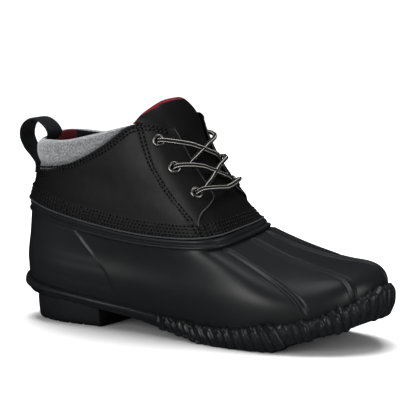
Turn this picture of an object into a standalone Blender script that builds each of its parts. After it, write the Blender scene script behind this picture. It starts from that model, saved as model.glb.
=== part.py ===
"""Right ankle duck boot: a moulded rubber shell on a heeled sole, with a laced leather upper.

+X points to the toe, +Y to the inner (medial) side of the foot and +Z up.
The origin is on the floor at the middle of the heel block.
Tables and sizes are in millimetres, and MM turns them to metres where meshes are made.
"""

import math

import bmesh
import bpy
import numpy as np
from mathutils import Matrix, Vector

MM = 0.001
GAP = 0.35
HEEL_CENTRE = 38.0

# The last is described by sixteen stations round the foot, numbered from the back of the
# heel along the outer side to the toe and back along the inner side.
# foot_x, foot_y: lower edge of the shell, from the back of the heel, plus to the inner side.
# wall_out, wall_z: how far the side wall leans out, and how high.
# shoulder_in, shoulder_z, vamp_in, vamp_z: share of the way in to the band, and height.
FOOT_COLUMNS = ("foot_x", "foot_y", "wall_out", "wall_z", "shoulder_in", "shoulder_z", "vamp_in", "vamp_z")
FOOT = {
    "heel": (-1.5, 0.0, 4.0, 42, 0.2, 52, 0.6, 64),
    "heel_lat": (7.5, -22.5, 4.0, 41, 0.2, 51, 0.6, 62),
    "seat_lat": (38.0, -32.5, 5.0, 37, 0.1, 47, 0.5, 57),
    "waist_lat": (92.0, -33.0, 6.5, 32, 0.1, 42, 0.5, 52),
    "mid_lat": (142.0, -39.0, 6.0, 28, 0.1, 40, 0.5, 50),
    "joint_lat": (190.0, -45.5, 4.5, 27, 0.1, 42, 0.45, 52),
    "toe_lat": (230.0, -36.0, 3.5, 29, 0.12, 38, 0.5, 50),
    "tip_lat": (253.0, -16.5, 4.0, 36, 0.05, 50, 0.5, 49),
    "tip": (262.0, 4.0, 4.2, 41, 0.06, 57, 0.5, 51),
    "tip_med": (258.5, 23.0, 4.4, 42, 0.07, 59, 0.5, 52),
    "toe_med": (235.0, 40.0, 4.0, 38, 0.08, 53, 0.5, 55),
    "joint_med": (190.0, 43.0, 4.5, 32, 0.12, 46, 0.5, 56),
    "mid_med": (142.0, 34.0, 6.0, 30, 0.2, 42, 0.5, 54),
    "waist_med": (92.0, 29.0, 6.5, 32, 0.15, 42, 0.5, 52),
    "seat_med": (38.0, 30.5, 5.0, 37, 0.1, 47, 0.5, 57),
    "heel_med": (7.5, 21.5, 4.0, 41, 0.2, 51, 0.6, 62),
}

# band_x, band_y, band_z: lower edge of the raised band round the top of the shell.
# low_in, low_z, high_in, high_z: course of the leg from the band to the collar.
# top_x, top_y, top_z: top of the collar and eyestays; leather: share of the leg in leather.
LEG_COLUMNS = (
    "band_x", "band_y", "band_z", "low_in", "low_z", "high_in", "high_z", "top_x", "top_y", "top_z", "leather",
)
LEG = {
    "heel": (-1.0, 0.0, 73.5, 0.1, 88, 1.3, 96, 5.0, 0.0, 124.0, 0.68),
    "heel_lat": (8.0, -21.5, 72.0, 0.1, 87, 1.2, 97, 12.5, -19.5, 124.5, 0.69),
    "seat_lat": (38.5, -33.0, 66.0, 0.3, 82, 0.8, 103, 40.5, -31.0, 127.0, 0.74),
    "waist_lat": (90.0, -39.0, 60.8, 0.25, 82, 0.7, 110, 73.8, -33.5, 134.7, 0.88),
    "mid_lat": (128.0, -41.5, 59.6, 0.22, 84, 0.75, 112, 95.8, -31.5, 140.0, 1.0),
    "joint_lat": (156.0, -40.5, 60.8, 0.14, 80, 0.77, 112, 108.3, -26.5, 141.3, 1.0),
    "toe_lat": (167.5, -29.0, 63.2, 0.14, 84, 0.77, 112, 118.6, -20.0, 138.3, 1.0),
    "tip_lat": (172.0, -11.0, 66.0, 0.24, 84, 0.82, 112, 122.5, -10.0, 138.0, 1.0),
    "tip": (174.5, 3.0, 68.2, 0.33, 84, 0.86, 111, 123.5, 0.5, 138.0, 1.0),
    "tip_med": (174.5, 14.0, 69.6, 0.38, 84, 0.87, 111, 122.5, 11.0, 138.0, 1.0),
    "toe_med": (169.0, 28.0, 69.4, 0.34, 84, 0.84, 112, 118.6, 21.0, 138.3, 1.0),
    "joint_med": (154.0, 37.5, 66.0, 0.24, 82, 0.8, 112, 108.3, 27.5, 141.3, 1.0),
    "mid_med": (126.0, 37.5, 62.0, 0.22, 84, 0.75, 112, 95.8, 32.0, 140.0, 1.0),
    "waist_med": (90.0, 35.0, 61.5, 0.25, 82, 0.7, 110, 73.8, 33.5, 134.7, 0.88),
    "seat_med": (38.5, 31.5, 66.0, 0.3, 82, 0.8, 103, 40.5, 31.0, 127.0, 0.74),
    "heel_med": (8.0, 21.0, 72.0, 0.1, 87, 1.2, 97, 12.5, 19.5, 124.5, 0.69),
}
TIP = 8.0

# Heights along the sole: underside, ledge that carries the shell and top of the rand,
# with the width of the rim past the foot outline and how far its lower edge tucks under.
SOLE_COLUMNS = ("x", "under_z", "ledge_z", "rand_z", "rim_out", "tuck")
SOLE = (
    (-5.0, 18.0, 24.5, 31.5, 4.4, 5.6),
    (12.0, 18.0, 24.0, 27.5, 3.6, 4.6),
    (38.0, 17.0, 22.0, 24.0, 3.2, 2.8),
    (72.0, 12.8, 17.5, 20.0, 2.8, 2.0),
    (96.0, 10.0, 14.0, 17.8, 2.6, 1.8),
    (120.0, 6.2, 11.0, 15.4, 3.0, 1.8),
    (145.0, 2.6, 8.8, 13.6, 3.6, 1.8),
    (165.0, 0.0, 8.0, 12.6, 4.2, 2.0),
    (190.0, 0.0, 8.0, 14.0, 4.6, 2.2),
    (207.0, 0.3, 8.6, 17.4, 4.8, 2.4),
    (222.0, 3.2, 10.8, 21.4, 5.0, 2.6),
    (238.0, 7.6, 14.2, 27.0, 5.4, 3.0),
    (252.0, 12.8, 18.6, 34.0, 6.0, 3.6),
    (266.0, 21.0, 25.6, 41.5, 6.6, 4.4),
)

# Rubber shell: wall, ridges that run over the vamp, and the raised edge of the heel counter.
# Ridges and counter run up the shell from a station at the sole to one at the band, and
# RELIEF_START is the share of the height above which they stand out.
SHELL_WALL = 2.5
SHELL_HEIGHTS = (0.0, 0.07, 0.17, 0.3, 0.43, 0.56, 0.68, 0.8, 0.91, 1.0)
SHELL_STATIONS = (
    0.0, 0.4, 0.8, 1.2, 1.6, 2.0, 3.35, 3.75, 4.15, 4.55, 4.95, 5.3, 5.6, 6.42, 6.68, 7.9, 8.3,
    9.35, 9.65, 10.55, 10.9, 11.3, 11.75, 12.2, 12.6, 14.0, 14.4, 14.8, 15.2, 15.6,
)
RIDGE_STATIONS = ((5.92, 6.05), (7.38, 7.08), (8.85, 8.8), (10.05, 10.1))
RIDGE_HALF = 0.19
RIDGE_TOP = 0.07
RIDGE_HEIGHT = 1.2
COUNTER_BAND_STATION = 2.28
COUNTER_SOLE_STATION = 2.9
COUNTER_STEPS = ((0.0, 0.0, 1.0), (0.05, 0.05, 0.0), (0.5, 0.2, 0.0))
COUNTER_BEND = 1.7
COUNTER_LIFT = 0.7
RELIEF_START = 0.12
RIDGE_RISE = 0.3
COUNTER_RISE = 0.1

# Band round the top of the shell and the hidden flange that the leather is sewn to.
# up: distance above the band's lower edge, out and inside: lift of both faces.
BAND_COLUMNS = ("up", "out", "inside")
BAND = (
    (0.2, 1.3, -2.5),
    (1.4, 1.9, -2.6),
    (2.9, 1.3, -2.7),
    (4.4, 1.9, -2.8),
    (5.8, 1.4, -2.9),
    (6.0, -1.9, -3.7),
    (15.5, -1.9, -3.7),
)
LEATHER_UP = 6.6

# Leather upper: a row for each height between its lower edge and its top edge.
# share: part of the height, eye and edge: stations of the eyelet line and the front edge.
UPPER_COLUMNS = ("share", "eye", "edge")
UPPER = (
    (0.0, 4.6, 5.15),
    (0.07, 4.65, 5.2),
    (0.15, 4.7, 5.25),
    (0.23, 4.9, 5.5),
    (0.3, 5.35, 6.1),
    (0.36, 5.68, 6.5),
    (0.42, 5.75, 6.5),
    (0.53, 5.55, 6.45),
    (0.64, 5.36, 6.4),
    (0.75, 5.25, 6.38),
    (0.857, 5.15, 6.35),
    (0.93, 5.12, 6.3),
    (1.0, 5.1, 6.2),
)
THROAT_ROW = 5
EYELET_ROWS = (6, 8, 10)
QUARTER_STATIONS = (0.0, 0.4, 0.8, 1.2, 1.6, 2.0, 2.35, 2.7, 3.05, 3.4, 3.7, 3.98)
VAMP_SHARES = (0.18, 0.38, 0.6, 0.8)
LEATHER_OUT = 1.4
LEATHER_IN = -0.6
VAMP_OUT = 1.0
EYESTAY_OUT = 2.85
EYESTAY_IN = 1.35
EYESTAY_BACK = (0.5, 1.7, 0.2)
EYELET_DIP = 0.2
EDGE_STEP = 0.04
EYELET_HOLE = 2.95

# Padded cuff: its section at full height, as share of the height above the leather,
# fixed distance up and lift. It thins towards its front ends, where it is lower than
# CUFF_FULL_HEIGHT.
CUFF_COLUMNS = ("share", "up", "lift")
CUFF_SECTION = (
    (0.0, -9.0, -1.5),
    (0.0, -0.6, -1.3),
    (0.0, 0.8, -0.8),
    (0.3, 0.5, 1.2),
    (0.7, 0.0, 1.3),
    (1.0, -1.6, 0.2),
    (1.0, 0.0, -2.6),
    (1.0, -1.8, -5.2),
    (0.5, 0.0, -6.0),
    (0.0, -9.0, -5.0),
)
CUFF_SMALLEST = 0.25
CUFF_FULL_HEIGHT = 12.0
CUFF_MIDDLE = -1.3
CUFF_STATIONS = (-3.9, -3.6, -3.2, -2.8, -2.4, -2.0, -1.5, -1.0, -0.5)

# Tongue: a row for each height, which is a share of the leg up to 1 and of the free top
# from 1 to 2. station is where the row starts on the outer side.
TONGUE_COLUMNS = ("height", "station", "out", "inside")
TONGUE = (
    (0.435, 6.6, 1.0, -0.8),
    (0.46, 6.58, 1.0, -1.2),
    (0.5, 6.4, 0.9, -1.8),
    (0.58, 5.8, 0.75, -2.4),
    (0.68, 5.4, 0.6, -2.6),
    (0.78, 5.0, 0.5, -2.7),
    (0.89, 4.7, 0.5, -2.8),
    (1.0, 4.5, 0.4, -3.0),
    (1.25, 4.45, 0.4, -3.2),
    (1.5, 4.42, 0.6, -3.4),
    (1.75, 4.4, 0.9, -3.4),
    (1.93, 4.4, 0.5, -3.0),
    (2.0, 4.4, -0.6, -1.8),
)
TONGUE_TOP = (112.0, 0.0, 158.0)
TONGUE_TOP_HALF = 34.0
TONGUE_TOP_DROP = 17.0
TONGUE_TOP_SWEEP = 14.0
TONGUE_SPLITS = 12
WING_START = 0.55
WING_DROP = 1.9
WING_HEIGHT = 0.58

# Pull loop: centre line of the strap from its sewn outer end over to the inside.
LOOP_COLUMNS = ("x", "z")
LOOP = (
    (0.9, 99.5),
    (1.0, 106.0),
    (-2.6, 110.8),
    (-8.6, 117.0),
    (-12.0, 124.5),
    (-10.6, 131.5),
    (-5.4, 136.2),
    (0.6, 136.8),
    (6.8, 133.8),
    (12.0, 128.8),
    (14.9, 121.5),
    (15.3, 110.0),
)
LOOP_WIDTH = 18.0
LOOP_THICK = 1.6

# Backstay strip down the back seam: height along the heel line, half width.
BACKSTAY_COLUMNS = ("up", "half")
BACKSTAY = ((9.0, 7.5), (13.0, 6.5), (18.0, 6.0), (24.0, 6.0))
BACKSTAY_THICK = 1.4
HEEL_STATION_LENGTH = 24.0

INSOLE_THICK = 4.0
INSOLE_INSET = 4.0
INSOLE_SEAT = 0.55
INSOLE_STEPS = 28

# Eyelet, turned: radius and height above the leather, down its outer side first.
EYELET_PROFILE = ((2.2, 1.2), (3.2, 1.5), (4.2, 1.1), (4.3, 0.6), (2.45, 0.6), (2.45, -1.1), (2.0, -1.1))
EYELET_STEPS = 10

# Laces: each strand leaves over an eyelet and ends by the other eyestay; heights are shares
# of the leg, and lifts hold the centre line clear of the leather at seven places.
CORD = 3.0
LACE_POINTS = 13
LACE_LIFT_SHARE = (0.0, 0.14, 0.27, 0.5, 0.73, 0.86, 1.0)
LACES = {
    "bar": {
        "from_station": 5.75, "from_height": 0.472, "mid_height": 0.44, "to_station": 10.25, "to_height": 0.472,
        "lifts": (6.7, 6.6, 5.7, 3.6, 5.7, 6.6, 6.7),
    },
    "lower": {
        "from_station": 5.36, "from_height": 0.672, "mid_height": 0.66, "to_station": 9.35, "to_height": 0.53,
        "lifts": (6.7, 6.5, 5.3, 3.5, 3.1, 3.1, 3.1),
    },
    "upper": {
        "from_station": 5.15, "from_height": 0.87, "mid_height": 0.85, "to_station": 9.45, "to_height": 0.73,
        "lifts": (6.7, 6.5, 5.3, 3.5, 3.1, 3.1, 3.1),
    },
}

# Sole: ribs of the rand, heel block and grooves of the tread, placed along the sole.
# HEEL_LEVELS: height, and how far the block stands out of the foot outline there.
PLATE_INSET = 7.0
SEAT_GAP = 0.4
RIB_START = 119.0
RIB_SLANT = 0.35
RIBS = 24
RIB_DEPTH = 0.9
HEEL_COLUMNS = 11
HEEL_FRONT = 70.0
HEEL_INSET = 4.5
HEEL_LEVELS = ((0.0, -2.6), (1.6, -1.2), (8.0, -0.6))
HEEL_TOP_OUT = -0.2
HEEL_SINK = 1.5
HEEL_GROOVES = (21.5, 32.5, 43.5, 54.5)
TREAD_GROOVES = (150.0, 161.0, 172.0, 183.0, 194.0, 205.0, 216.0, 227.0)
GROOVE_WIDTH = 3.0
GROOVE_DEPTH = 1.8
GROOVE_REACH = 90.0
CHEVRON_SWEEP = 6.0
CHEVRON_MARGIN = 4.0


def closed_spline(values):
    """Smooth closed curve through numbered stations, as its values and second derivatives."""
    values = np.asarray(values, float)
    count = len(values)
    system = 4 * np.eye(count) + np.roll(np.eye(count), 1, 0) + np.roll(np.eye(count), -1, 0)
    bend = 6 * (np.roll(values, -1, 0) - 2 * values + np.roll(values, 1, 0))
    return values, np.linalg.solve(system, bend)


FOOT_CURVE = closed_spline(list(FOOT.values()))
LEG_CURVE = closed_spline(list(LEG.values()))


def station(curve, columns, u):
    """Row of a station table at station number u, by column name."""
    values, second = curve
    i = math.floor(u) % len(values)
    j = (i + 1) % len(values)
    t = u - math.floor(u)
    s = 1 - t
    row = s * values[i] + t * values[j] + (s**3 - s) * second[i] / 6 + (t**3 - t) * second[j] / 6
    return dict(zip(columns, row))


def sole_at(x, column):
    """Height or width from the SOLE table at a distance x from the back of the heel."""
    table = np.asarray(SOLE)
    xs, values = table[:, 0], table[:, SOLE_COLUMNS.index(column)]
    secants = np.diff(values) / np.diff(xs)
    slopes = np.zeros(len(xs))
    for i in range(1, len(xs) - 1):
        before, after = secants[i - 1], secants[i]
        if before * after > 0:
            slopes[i] = 2 * before * after / (before + after)
    x = min(max(x, xs[0]), xs[-1])
    i = min(int(np.searchsorted(xs, x, side="right")) - 1, len(xs) - 2)
    width = xs[i + 1] - xs[i]
    t = (x - xs[i]) / width
    rise = (2 * t**3 - 3 * t**2 + 1) * values[i] + (3 * t**2 - 2 * t**3) * values[i + 1]
    return rise + width * ((t**3 - 2 * t**2 + t) * slopes[i] + (t**3 - t**2) * slopes[i + 1])


def foot_plan(u, out=0.0):
    """Point of the foot outline in plan, moved out of the foot by a distance."""
    step = 0.02
    here = station(FOOT_CURVE, FOOT_COLUMNS, u)
    after = station(FOOT_CURVE, FOOT_COLUMNS, u + step)
    before = station(FOOT_CURVE, FOOT_COLUMNS, u - step)
    along = np.array([after["foot_x"] - before["foot_x"], after["foot_y"] - before["foot_y"]])
    along /= np.linalg.norm(along)
    return np.array([here["foot_x"] + along[1] * out, here["foot_y"] - along[0] * out])


def clamped_spline(points, t):
    """Point on a clamped cubic spline with four or five control points."""
    a, b, c, d = points[0], points[1], points[-2], points[-1]
    if len(points) == 5:
        middle = points[1] * 0.25 + points[2] * 0.5 + points[3] * 0.25
        if t < 0.5:
            b, c, d = points[1], (points[1] + points[2]) / 2, middle
            t = t * 2
        else:
            a, b, c = middle, (points[2] + points[3]) / 2, points[3]
            t = t * 2 - 1
    s = 1 - t
    return s**3 * a + 3 * t * s * s * b + 3 * t * t * s * c + t**3 * d


def shell_surface(u, t):
    """Outside of the rubber shell: t runs from 0 at the sole to 1 at the band."""
    foot = station(FOOT_CURVE, FOOT_COLUMNS, u)
    leg = station(LEG_CURVE, LEG_COLUMNS, u)
    base = foot_plan(u)
    wall = foot_plan(u, foot["wall_out"])
    band = np.array([leg["band_x"], leg["band_y"]])
    shoulder = base + (band - base) * foot["shoulder_in"] + (wall - base) * 0.6
    vamp = base + (band - base) * foot["vamp_in"]
    controls = (
        np.array([*base, sole_at(base[0], "ledge_z") + GAP]),
        np.array([*wall, foot["wall_z"]]),
        np.array([*shoulder, foot["shoulder_z"]]),
        np.array([*vamp, foot["vamp_z"]]),
        np.array([*band, leg["band_z"]]),
    )
    return clamped_spline(controls, t)


def leg_surface(u, t):
    """Course of the leather leg: t runs from 0 at the band to 1 at the collar."""
    leg = station(LEG_CURVE, LEG_COLUMNS, u)
    band = np.array([leg["band_x"], leg["band_y"]])
    top = np.array([leg["top_x"], leg["top_y"]])
    controls = (
        np.array([*band, leg["band_z"]]),
        np.array([*(band + (top - band) * leg["low_in"]), leg["low_z"]]),
        np.array([*(band + (top - band) * leg["high_in"]), leg["high_z"]]),
        np.array([*top, leg["top_z"]]),
    )
    return clamped_spline(controls, t)


def skin(surface, u, t, lift=0.0):
    """Point on the shell or leg surface, lifted out of it along its normal."""
    step = 0.01
    along = surface(u + step, t) - surface(u - step, t)
    rising = surface(u, min(t + step, 1.0)) - surface(u, max(t - step, 0.0))
    normal = np.cross(along, rising)
    return surface(u, t) + normal / np.linalg.norm(normal) * lift


def leg_share(u, up):
    """Share of the leg that lies at a distance up from the band's lower edge."""
    shares = np.linspace(0, 1, 25)
    points = np.array([leg_surface(u, t) for t in shares])
    run = np.concatenate(([0], np.cumsum(np.linalg.norm(np.diff(points, axis=0), axis=1))))
    return float(np.interp(up, run, shares))


def leg_length(u):
    points = np.array([leg_surface(u, t) for t in np.linspace(0, 1, 25)])
    return float(np.sum(np.linalg.norm(np.diff(points, axis=0), axis=1)))


def leg_point(u, up, lift):
    return skin(leg_surface, u, leg_share(u, up), lift)


def shell_share(u, z):
    """Share of the shell wall at which it passes a height, near the sole."""
    low, high = 0.0, 0.45
    for _ in range(18):
        middle = (low + high) / 2
        if shell_surface(u, middle)[2] < z:
            low = middle
        else:
            high = middle
    return low


def tongue_top(u):
    across = (u - TIP) / 4
    x, y, z = TONGUE_TOP
    drop = abs(across) ** 1.8
    return np.array([x - TONGUE_TOP_SWEEP * drop, y + TONGUE_TOP_HALF * across, z - TONGUE_TOP_DROP * drop])


def tongue_surface(u, t):
    """Course of the tongue: up to 0.5 it follows the leg, and from there it rises free."""
    if t <= 0.5:
        return leg_surface(u, 2 * t)
    start, end = leg_surface(u, 1.0), tongue_top(u)
    tangent = start - leg_surface(u, 0.98)
    tangent /= np.linalg.norm(tangent)
    bend = start + tangent * np.linalg.norm(end - start) * 0.45
    s = 2 * t - 1
    return (1 - s) ** 2 * start + 2 * s * (1 - s) * bend + s * s * end


def material(name, colour, roughness, metallic=0.0):
    """Plain Principled material from a hexadecimal sRGB colour."""
    made = bpy.data.materials.new(name)
    made.use_nodes = True
    shader = made.node_tree.nodes["Principled BSDF"]
    parts = [int(colour[i:i + 2], 16) / 255 for i in (0, 2, 4)]
    linear = [c / 12.92 if c <= 0.04045 else ((c + 0.055) / 1.055) ** 2.4 for c in parts]
    shader.inputs["Base Color"].default_value = (*linear, 1.0)
    shader.inputs["Roughness"].default_value = roughness
    shader.inputs["Metallic"].default_value = metallic
    made.diffuse_color = (*linear, 1.0)
    return made


def to_frame(point):
    """Table point in millimetres from the back of the heel to the boot's frame in metres."""
    return Vector(((point[0] - HEEL_CENTRE) * MM, point[1] * MM, point[2] * MM))


def finish(name, bm, collection, look):
    """Turn a bmesh into a named object with outward faces and a smooth look."""
    bmesh.ops.recalc_face_normals(bm, faces=bm.faces)
    mesh = bpy.data.meshes.new(name)
    bm.to_mesh(mesh)
    bm.free()
    mesh.materials.append(look)
    mesh.shade_smooth()
    mesh.set_sharp_from_angle(angle=math.radians(40))
    made = bpy.data.objects.new(name, mesh)
    collection.objects.link(made)
    return made


def wall(name, outer, inner, collection, look, closed=False, open_cells=(), holes=()):
    """Closed solid between two grids of points, with a rim at every free edge.

    Rows run up the boot and columns run round it. open_cells are left out, and each hole
    is a grid point whose four cells are replaced by a round hole of a given radius.
    """
    bm = bmesh.new()
    rows, columns = len(outer), len(outer[0])
    made = {}

    def vertex(side, i, j):
        key = (side, i, j % columns)
        if key not in made:
            made[key] = bm.verts.new(to_frame((outer, inner)[side][i][j % columns]))
        return made[key]

    faces = []
    around = ((-1, -1), (-1, 0), (-1, 1), (0, 1), (1, 1), (1, 0), (1, -1), (0, -1))
    pierced = set()
    for i, j, radius in holes:
        pierced.update(((i - 1, j - 1), (i - 1, j), (i, j - 1), (i, j)))
        middle = np.asarray(outer[i][j])
        right = np.asarray(outer[i][j + 1]) - np.asarray(outer[i][j - 1])
        right /= np.linalg.norm(right)
        up = np.asarray(outer[i + 1][j]) - np.asarray(outer[i - 1][j])
        up -= right * np.dot(up, right)
        up /= np.linalg.norm(up)
        for side in (0, 1):
            centre = middle if side == 0 else np.asarray(inner[i][j])
            for k in range(8):
                angle = math.radians(225 + 45 * k)
                point = centre + radius * (math.cos(angle) * right + math.sin(angle) * up)
                made[(side, "hole", i, j, k)] = bm.verts.new(to_frame(point))
        for k in range(8):
            n = (k + 1) % 8
            a, b = around[k], around[n]
            faces.append((
                (i + a[0], j + a[1]), (i + b[0], j + b[1]), ("hole", i, j, n), ("hole", i, j, k),
            ))
    spans = columns if closed else columns - 1
    for i in range(rows - 1):
        for j in range(spans):
            if (i, j) not in open_cells and (i, j) not in pierced:
                faces.append(((i, j), (i, j + 1), (i + 1, j + 1), (i + 1, j)))

    def corner(side, key):
        if key[0] == "hole":
            return made[(side, *key)]
        return vertex(side, *key)

    def same(key):
        return key if key[0] == "hole" else (key[0], key[1] % columns)

    edges = set()
    for face in faces:
        bm.faces.new([corner(0, key) for key in face])
        bm.faces.new([corner(1, key) for key in reversed(face)])
        for k in range(4):
            edges.add((same(face[k]), same(face[(k + 1) % 4])))
    for a, b in sorted(edges, key=str):
        if (b, a) not in edges:
            bm.faces.new((corner(0, b), corner(0, a), corner(1, a), corner(1, b)))
    return finish(name, bm, collection, look)


def ring_solid(name, rings, collection, look):
    """Closed solid through rings of points, capped straight across from side to side."""
    bm = bmesh.new()
    loops = [[bm.verts.new(to_frame(point)) for point in ring] for ring in rings]
    count = len(rings[0])
    for low, high in zip(loops, loops[1:]):
        for j in range(count):
            n = (j + 1) % count
            bm.faces.new((low[j], low[n], high[n], high[j]))
    for loop in (loops[0], loops[-1]):
        for j in range((count - 1) // 2 + 1):
            quad = (loop[j], loop[j + 1], loop[(count - j - 1) % count], loop[(count - j) % count])
            distinct = list(dict.fromkeys(quad))
            if len(distinct) > 2:
                bm.faces.new(distinct)
    return finish(name, bm, collection, look)


def closed_section(name, sections, collection, look):
    """Closed solid lofted through closed sections, with both ends filled."""
    bm = bmesh.new()
    loops = [[bm.verts.new(to_frame(point)) for point in section] for section in sections]
    count = len(sections[0])
    for first, second in zip(loops, loops[1:]):
        for j in range(count):
            n = (j + 1) % count
            bm.faces.new((first[j], first[n], second[n], second[j]))
    for loop in (loops[0], loops[-1]):
        low, high = 0, count - 1
        while high - low > 1:
            quad = (loop[low], loop[low + 1], loop[high - 1], loop[high])
            bm.faces.new(list(dict.fromkeys(quad)))
            low, high = low + 1, high - 1
    return finish(name, bm, collection, look)


def rand_stations():
    """Stations of the rand's columns: two for each rib in front, wider steps at the heel."""
    found = []
    for first, last in ((0.0, TIP), (2 * TIP, TIP)):
        us = np.linspace(first, last, 400)
        points = np.array([foot_plan(u, 5.0) for u in us])
        run = np.concatenate(([0], np.cumsum(np.linalg.norm(np.diff(points, axis=0), axis=1))))
        start = float(np.interp(RIB_START, points[:, 0], run))
        coarse = [start * k / HEEL_COLUMNS for k in range(HEEL_COLUMNS)]
        fine = [start + (run[-1] - start) * k / (2 * RIBS) for k in range(2 * RIBS + 1)]
        found.append([float(np.interp(place, run, us)) for place in coarse + fine])
    return found[0] + found[1][-2:0:-1]


def outsole(collection, cutters, look):
    """Plate with the rope-pattern rand, joined to the heel block and grooved underneath."""
    stations = rand_stations()
    count = len(stations)
    rings = [[] for _ in range(10)]
    for j, u in enumerate(stations):
        base = foot_plan(u)
        row = {name: sole_at(base[0], name) for name in SOLE_COLUMNS[1:]}
        rim, top = row["rim_out"], row["rand_z"]
        place = min(j, count - j)
        fade = min(max((place - HEEL_COLUMNS) / 2, 0.0), 1.0)
        rib = (RIB_DEPTH if (place - HEEL_COLUMNS) % 2 else -RIB_DEPTH / 2) * fade
        slant = RIB_SLANT * (u - stations[j - 1 if j else 1]) * fade
        tuck = row["tuck"]
        edge = foot_plan(u, rim - tuck)
        side = foot_plan(u, rim - 0.4 * tuck)
        bottom = sole_at(edge[0], "under_z")
        foot = sole_at(side[0], "under_z") + 1.0 + 0.4 * tuck
        inset = foot_plan(u, -PLATE_INSET)
        wall_top = skin(shell_surface, u, shell_share(u, top), GAP + SEAT_GAP)
        wall_low = skin(shell_surface, u, shell_share(u, (top + row["ledge_z"]) / 2), GAP + SEAT_GAP)
        rings[0].append((*inset, sole_at(inset[0], "under_z")))
        rings[1].append((*edge, bottom))
        rings[2].append((*foot_plan(u - slant, rim - 0.4 * tuck + rib * 0.5), foot))
        rings[3].append((*foot_plan(u, rim + 0.3 + rib), foot + (top - foot) * 0.33))
        rings[4].append((*foot_plan(u + slant, rim + 0.3 + rib), foot + (top - foot) * 0.7))
        rings[5].append((*foot_plan(u + slant, rim - 0.6 + rib * 0.5), top - 0.6))
        rings[6].append(tuple(wall_top))
        rings[7].append(tuple(wall_low))
        rings[8].append((*foot_plan(u, GAP + SEAT_GAP), row["ledge_z"]))
        rings[9].append((*inset, sole_at(inset[0], "ledge_z")))
    sole = ring_solid("outsole", rings, collection, look)

    around = [u for u in stations if foot_plan(u)[0] < HEEL_FRONT]
    heel_rings = []
    for z, out in HEEL_LEVELS + ((None, HEEL_TOP_OUT),):
        ring = []
        for u in around:
            inset = HEEL_INSET * max(0.0, 1 - max(foot_plan(u)[0], 0.0) / HEEL_CENTRE)
            x, y = foot_plan(u, out - inset)
            ring.append((x, y, sole_at(x, "under_z") + HEEL_SINK if z is None else z))
        heel_rings.append(ring)
    heel = ring_solid("heel_block", heel_rings, cutters, look)
    join(sole, heel, "UNION")
    groove = bmesh.new()
    for x in HEEL_GROOVES:
        size = Matrix.Diagonal((GROOVE_WIDTH * MM, GROOVE_REACH * MM, 2 * GROOVE_DEPTH * MM, 1.0))
        place = Matrix.Translation(to_frame((x, 0.0, 0.0)))
        bmesh.ops.create_cube(groove, size=1.0, matrix=place @ size)
    for x in TREAD_GROOVES:
        side = abs(foot_plan(station_at(x))[1]) - CHEVRON_MARGIN
        back = -CHEVRON_SWEEP
        corners = ((0, 0), (back, side), (back + GROOVE_WIDTH, side), (GROOVE_WIDTH, 0))
        outline = corners + ((back + GROOVE_WIDTH, -side), (back, -side))
        prism(groove, [(x + a, b) for a, b in outline])
    cutter = finish("tread_grooves", groove, cutters, look)
    join(sole, cutter, "DIFFERENCE")
    return sole


def station_at(x):
    """Outer-side station where the foot outline passes a distance from the heel."""
    us = np.linspace(0, TIP, 200)
    return float(np.interp(x, [foot_plan(u)[0] for u in us], us))


def prism(bm, outline):
    """Add an upright prism that reaches from below the sole to the depth of a groove."""
    low = [bm.verts.new(to_frame((x, y, sole_at(x, "under_z") - 2.0))) for x, y in outline]
    high = [bm.verts.new(to_frame((x, y, sole_at(x, "under_z") + GROOVE_DEPTH))) for x, y in outline]
    count = len(outline)
    for j in range(count):
        n = (j + 1) % count
        bm.faces.new((low[j], low[n], high[n], high[j]))
    for ring in (low, high):
        bm.faces.new((ring[0], ring[1], ring[2], ring[3]))
        bm.faces.new((ring[0], ring[3], ring[4], ring[5]))


def join(target, operand, kind):
    """Boolean modifier on target, with its operand hidden and drawn as wire."""
    operand.hide_render = True
    operand.display_type = "WIRE"
    step = target.modifiers.new(kind.title(), "BOOLEAN")
    step.operation = kind
    step.object = operand
    step.solver = "EXACT"


def shell_stations():
    """Columns of the shell: station at the band, station at the sole, ridge and counter lift."""
    columns = [(u, u, 0.0, 0.0) for u in SHELL_STATIONS]
    for band, sole in RIDGE_STATIONS:
        for step, height in ((-RIDGE_HALF, 0.0), (-RIDGE_TOP, 1.0), (RIDGE_TOP, 1.0), (RIDGE_HALF, 0.0)):
            columns.append((band + step, sole + step, height, 0.0))
    for side in (1, -1):
        for band_step, sole_step, lift in COUNTER_STEPS:
            band, sole = COUNTER_BAND_STATION + band_step, COUNTER_SOLE_STATION + sole_step
            columns.append((side * band % (2 * TIP), side * sole % (2 * TIP), 0.0, lift))
    return sorted(columns)


def rubber_shell(collection, look):
    """Moulded shell with its band step, vamp ridges, heel counter and hidden flange."""
    columns = shell_stations()
    outer, inner = [], []
    for w in SHELL_HEIGHTS:
        out_row, in_row = [], []
        for band, sole, ridge, counter in columns:
            u = sole + (band - sole) * w**COUNTER_BEND
            behind = min(u, 2 * TIP - u) < COUNTER_BAND_STATION or counter > 0
            above = max(w - RELIEF_START, 0.0)
            lift = RIDGE_HEIGHT * ridge * min(above / RIDGE_RISE, 1.0)
            if behind:
                lift += COUNTER_LIFT * min(above / COUNTER_RISE, 1.0)
            out_row.append(skin(shell_surface, u, w, lift))
            in_row.append(skin(shell_surface, u, w, -SHELL_WALL))
        outer.append(out_row)
        inner.append(in_row)
    for up, out, inside in BAND:
        outer.append([leg_point(column[0], up, out) for column in columns])
        inner.append([leg_point(column[0], up, inside) for column in columns])
    return wall("rubber_shell", outer, inner, collection, look, closed=True)


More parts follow.
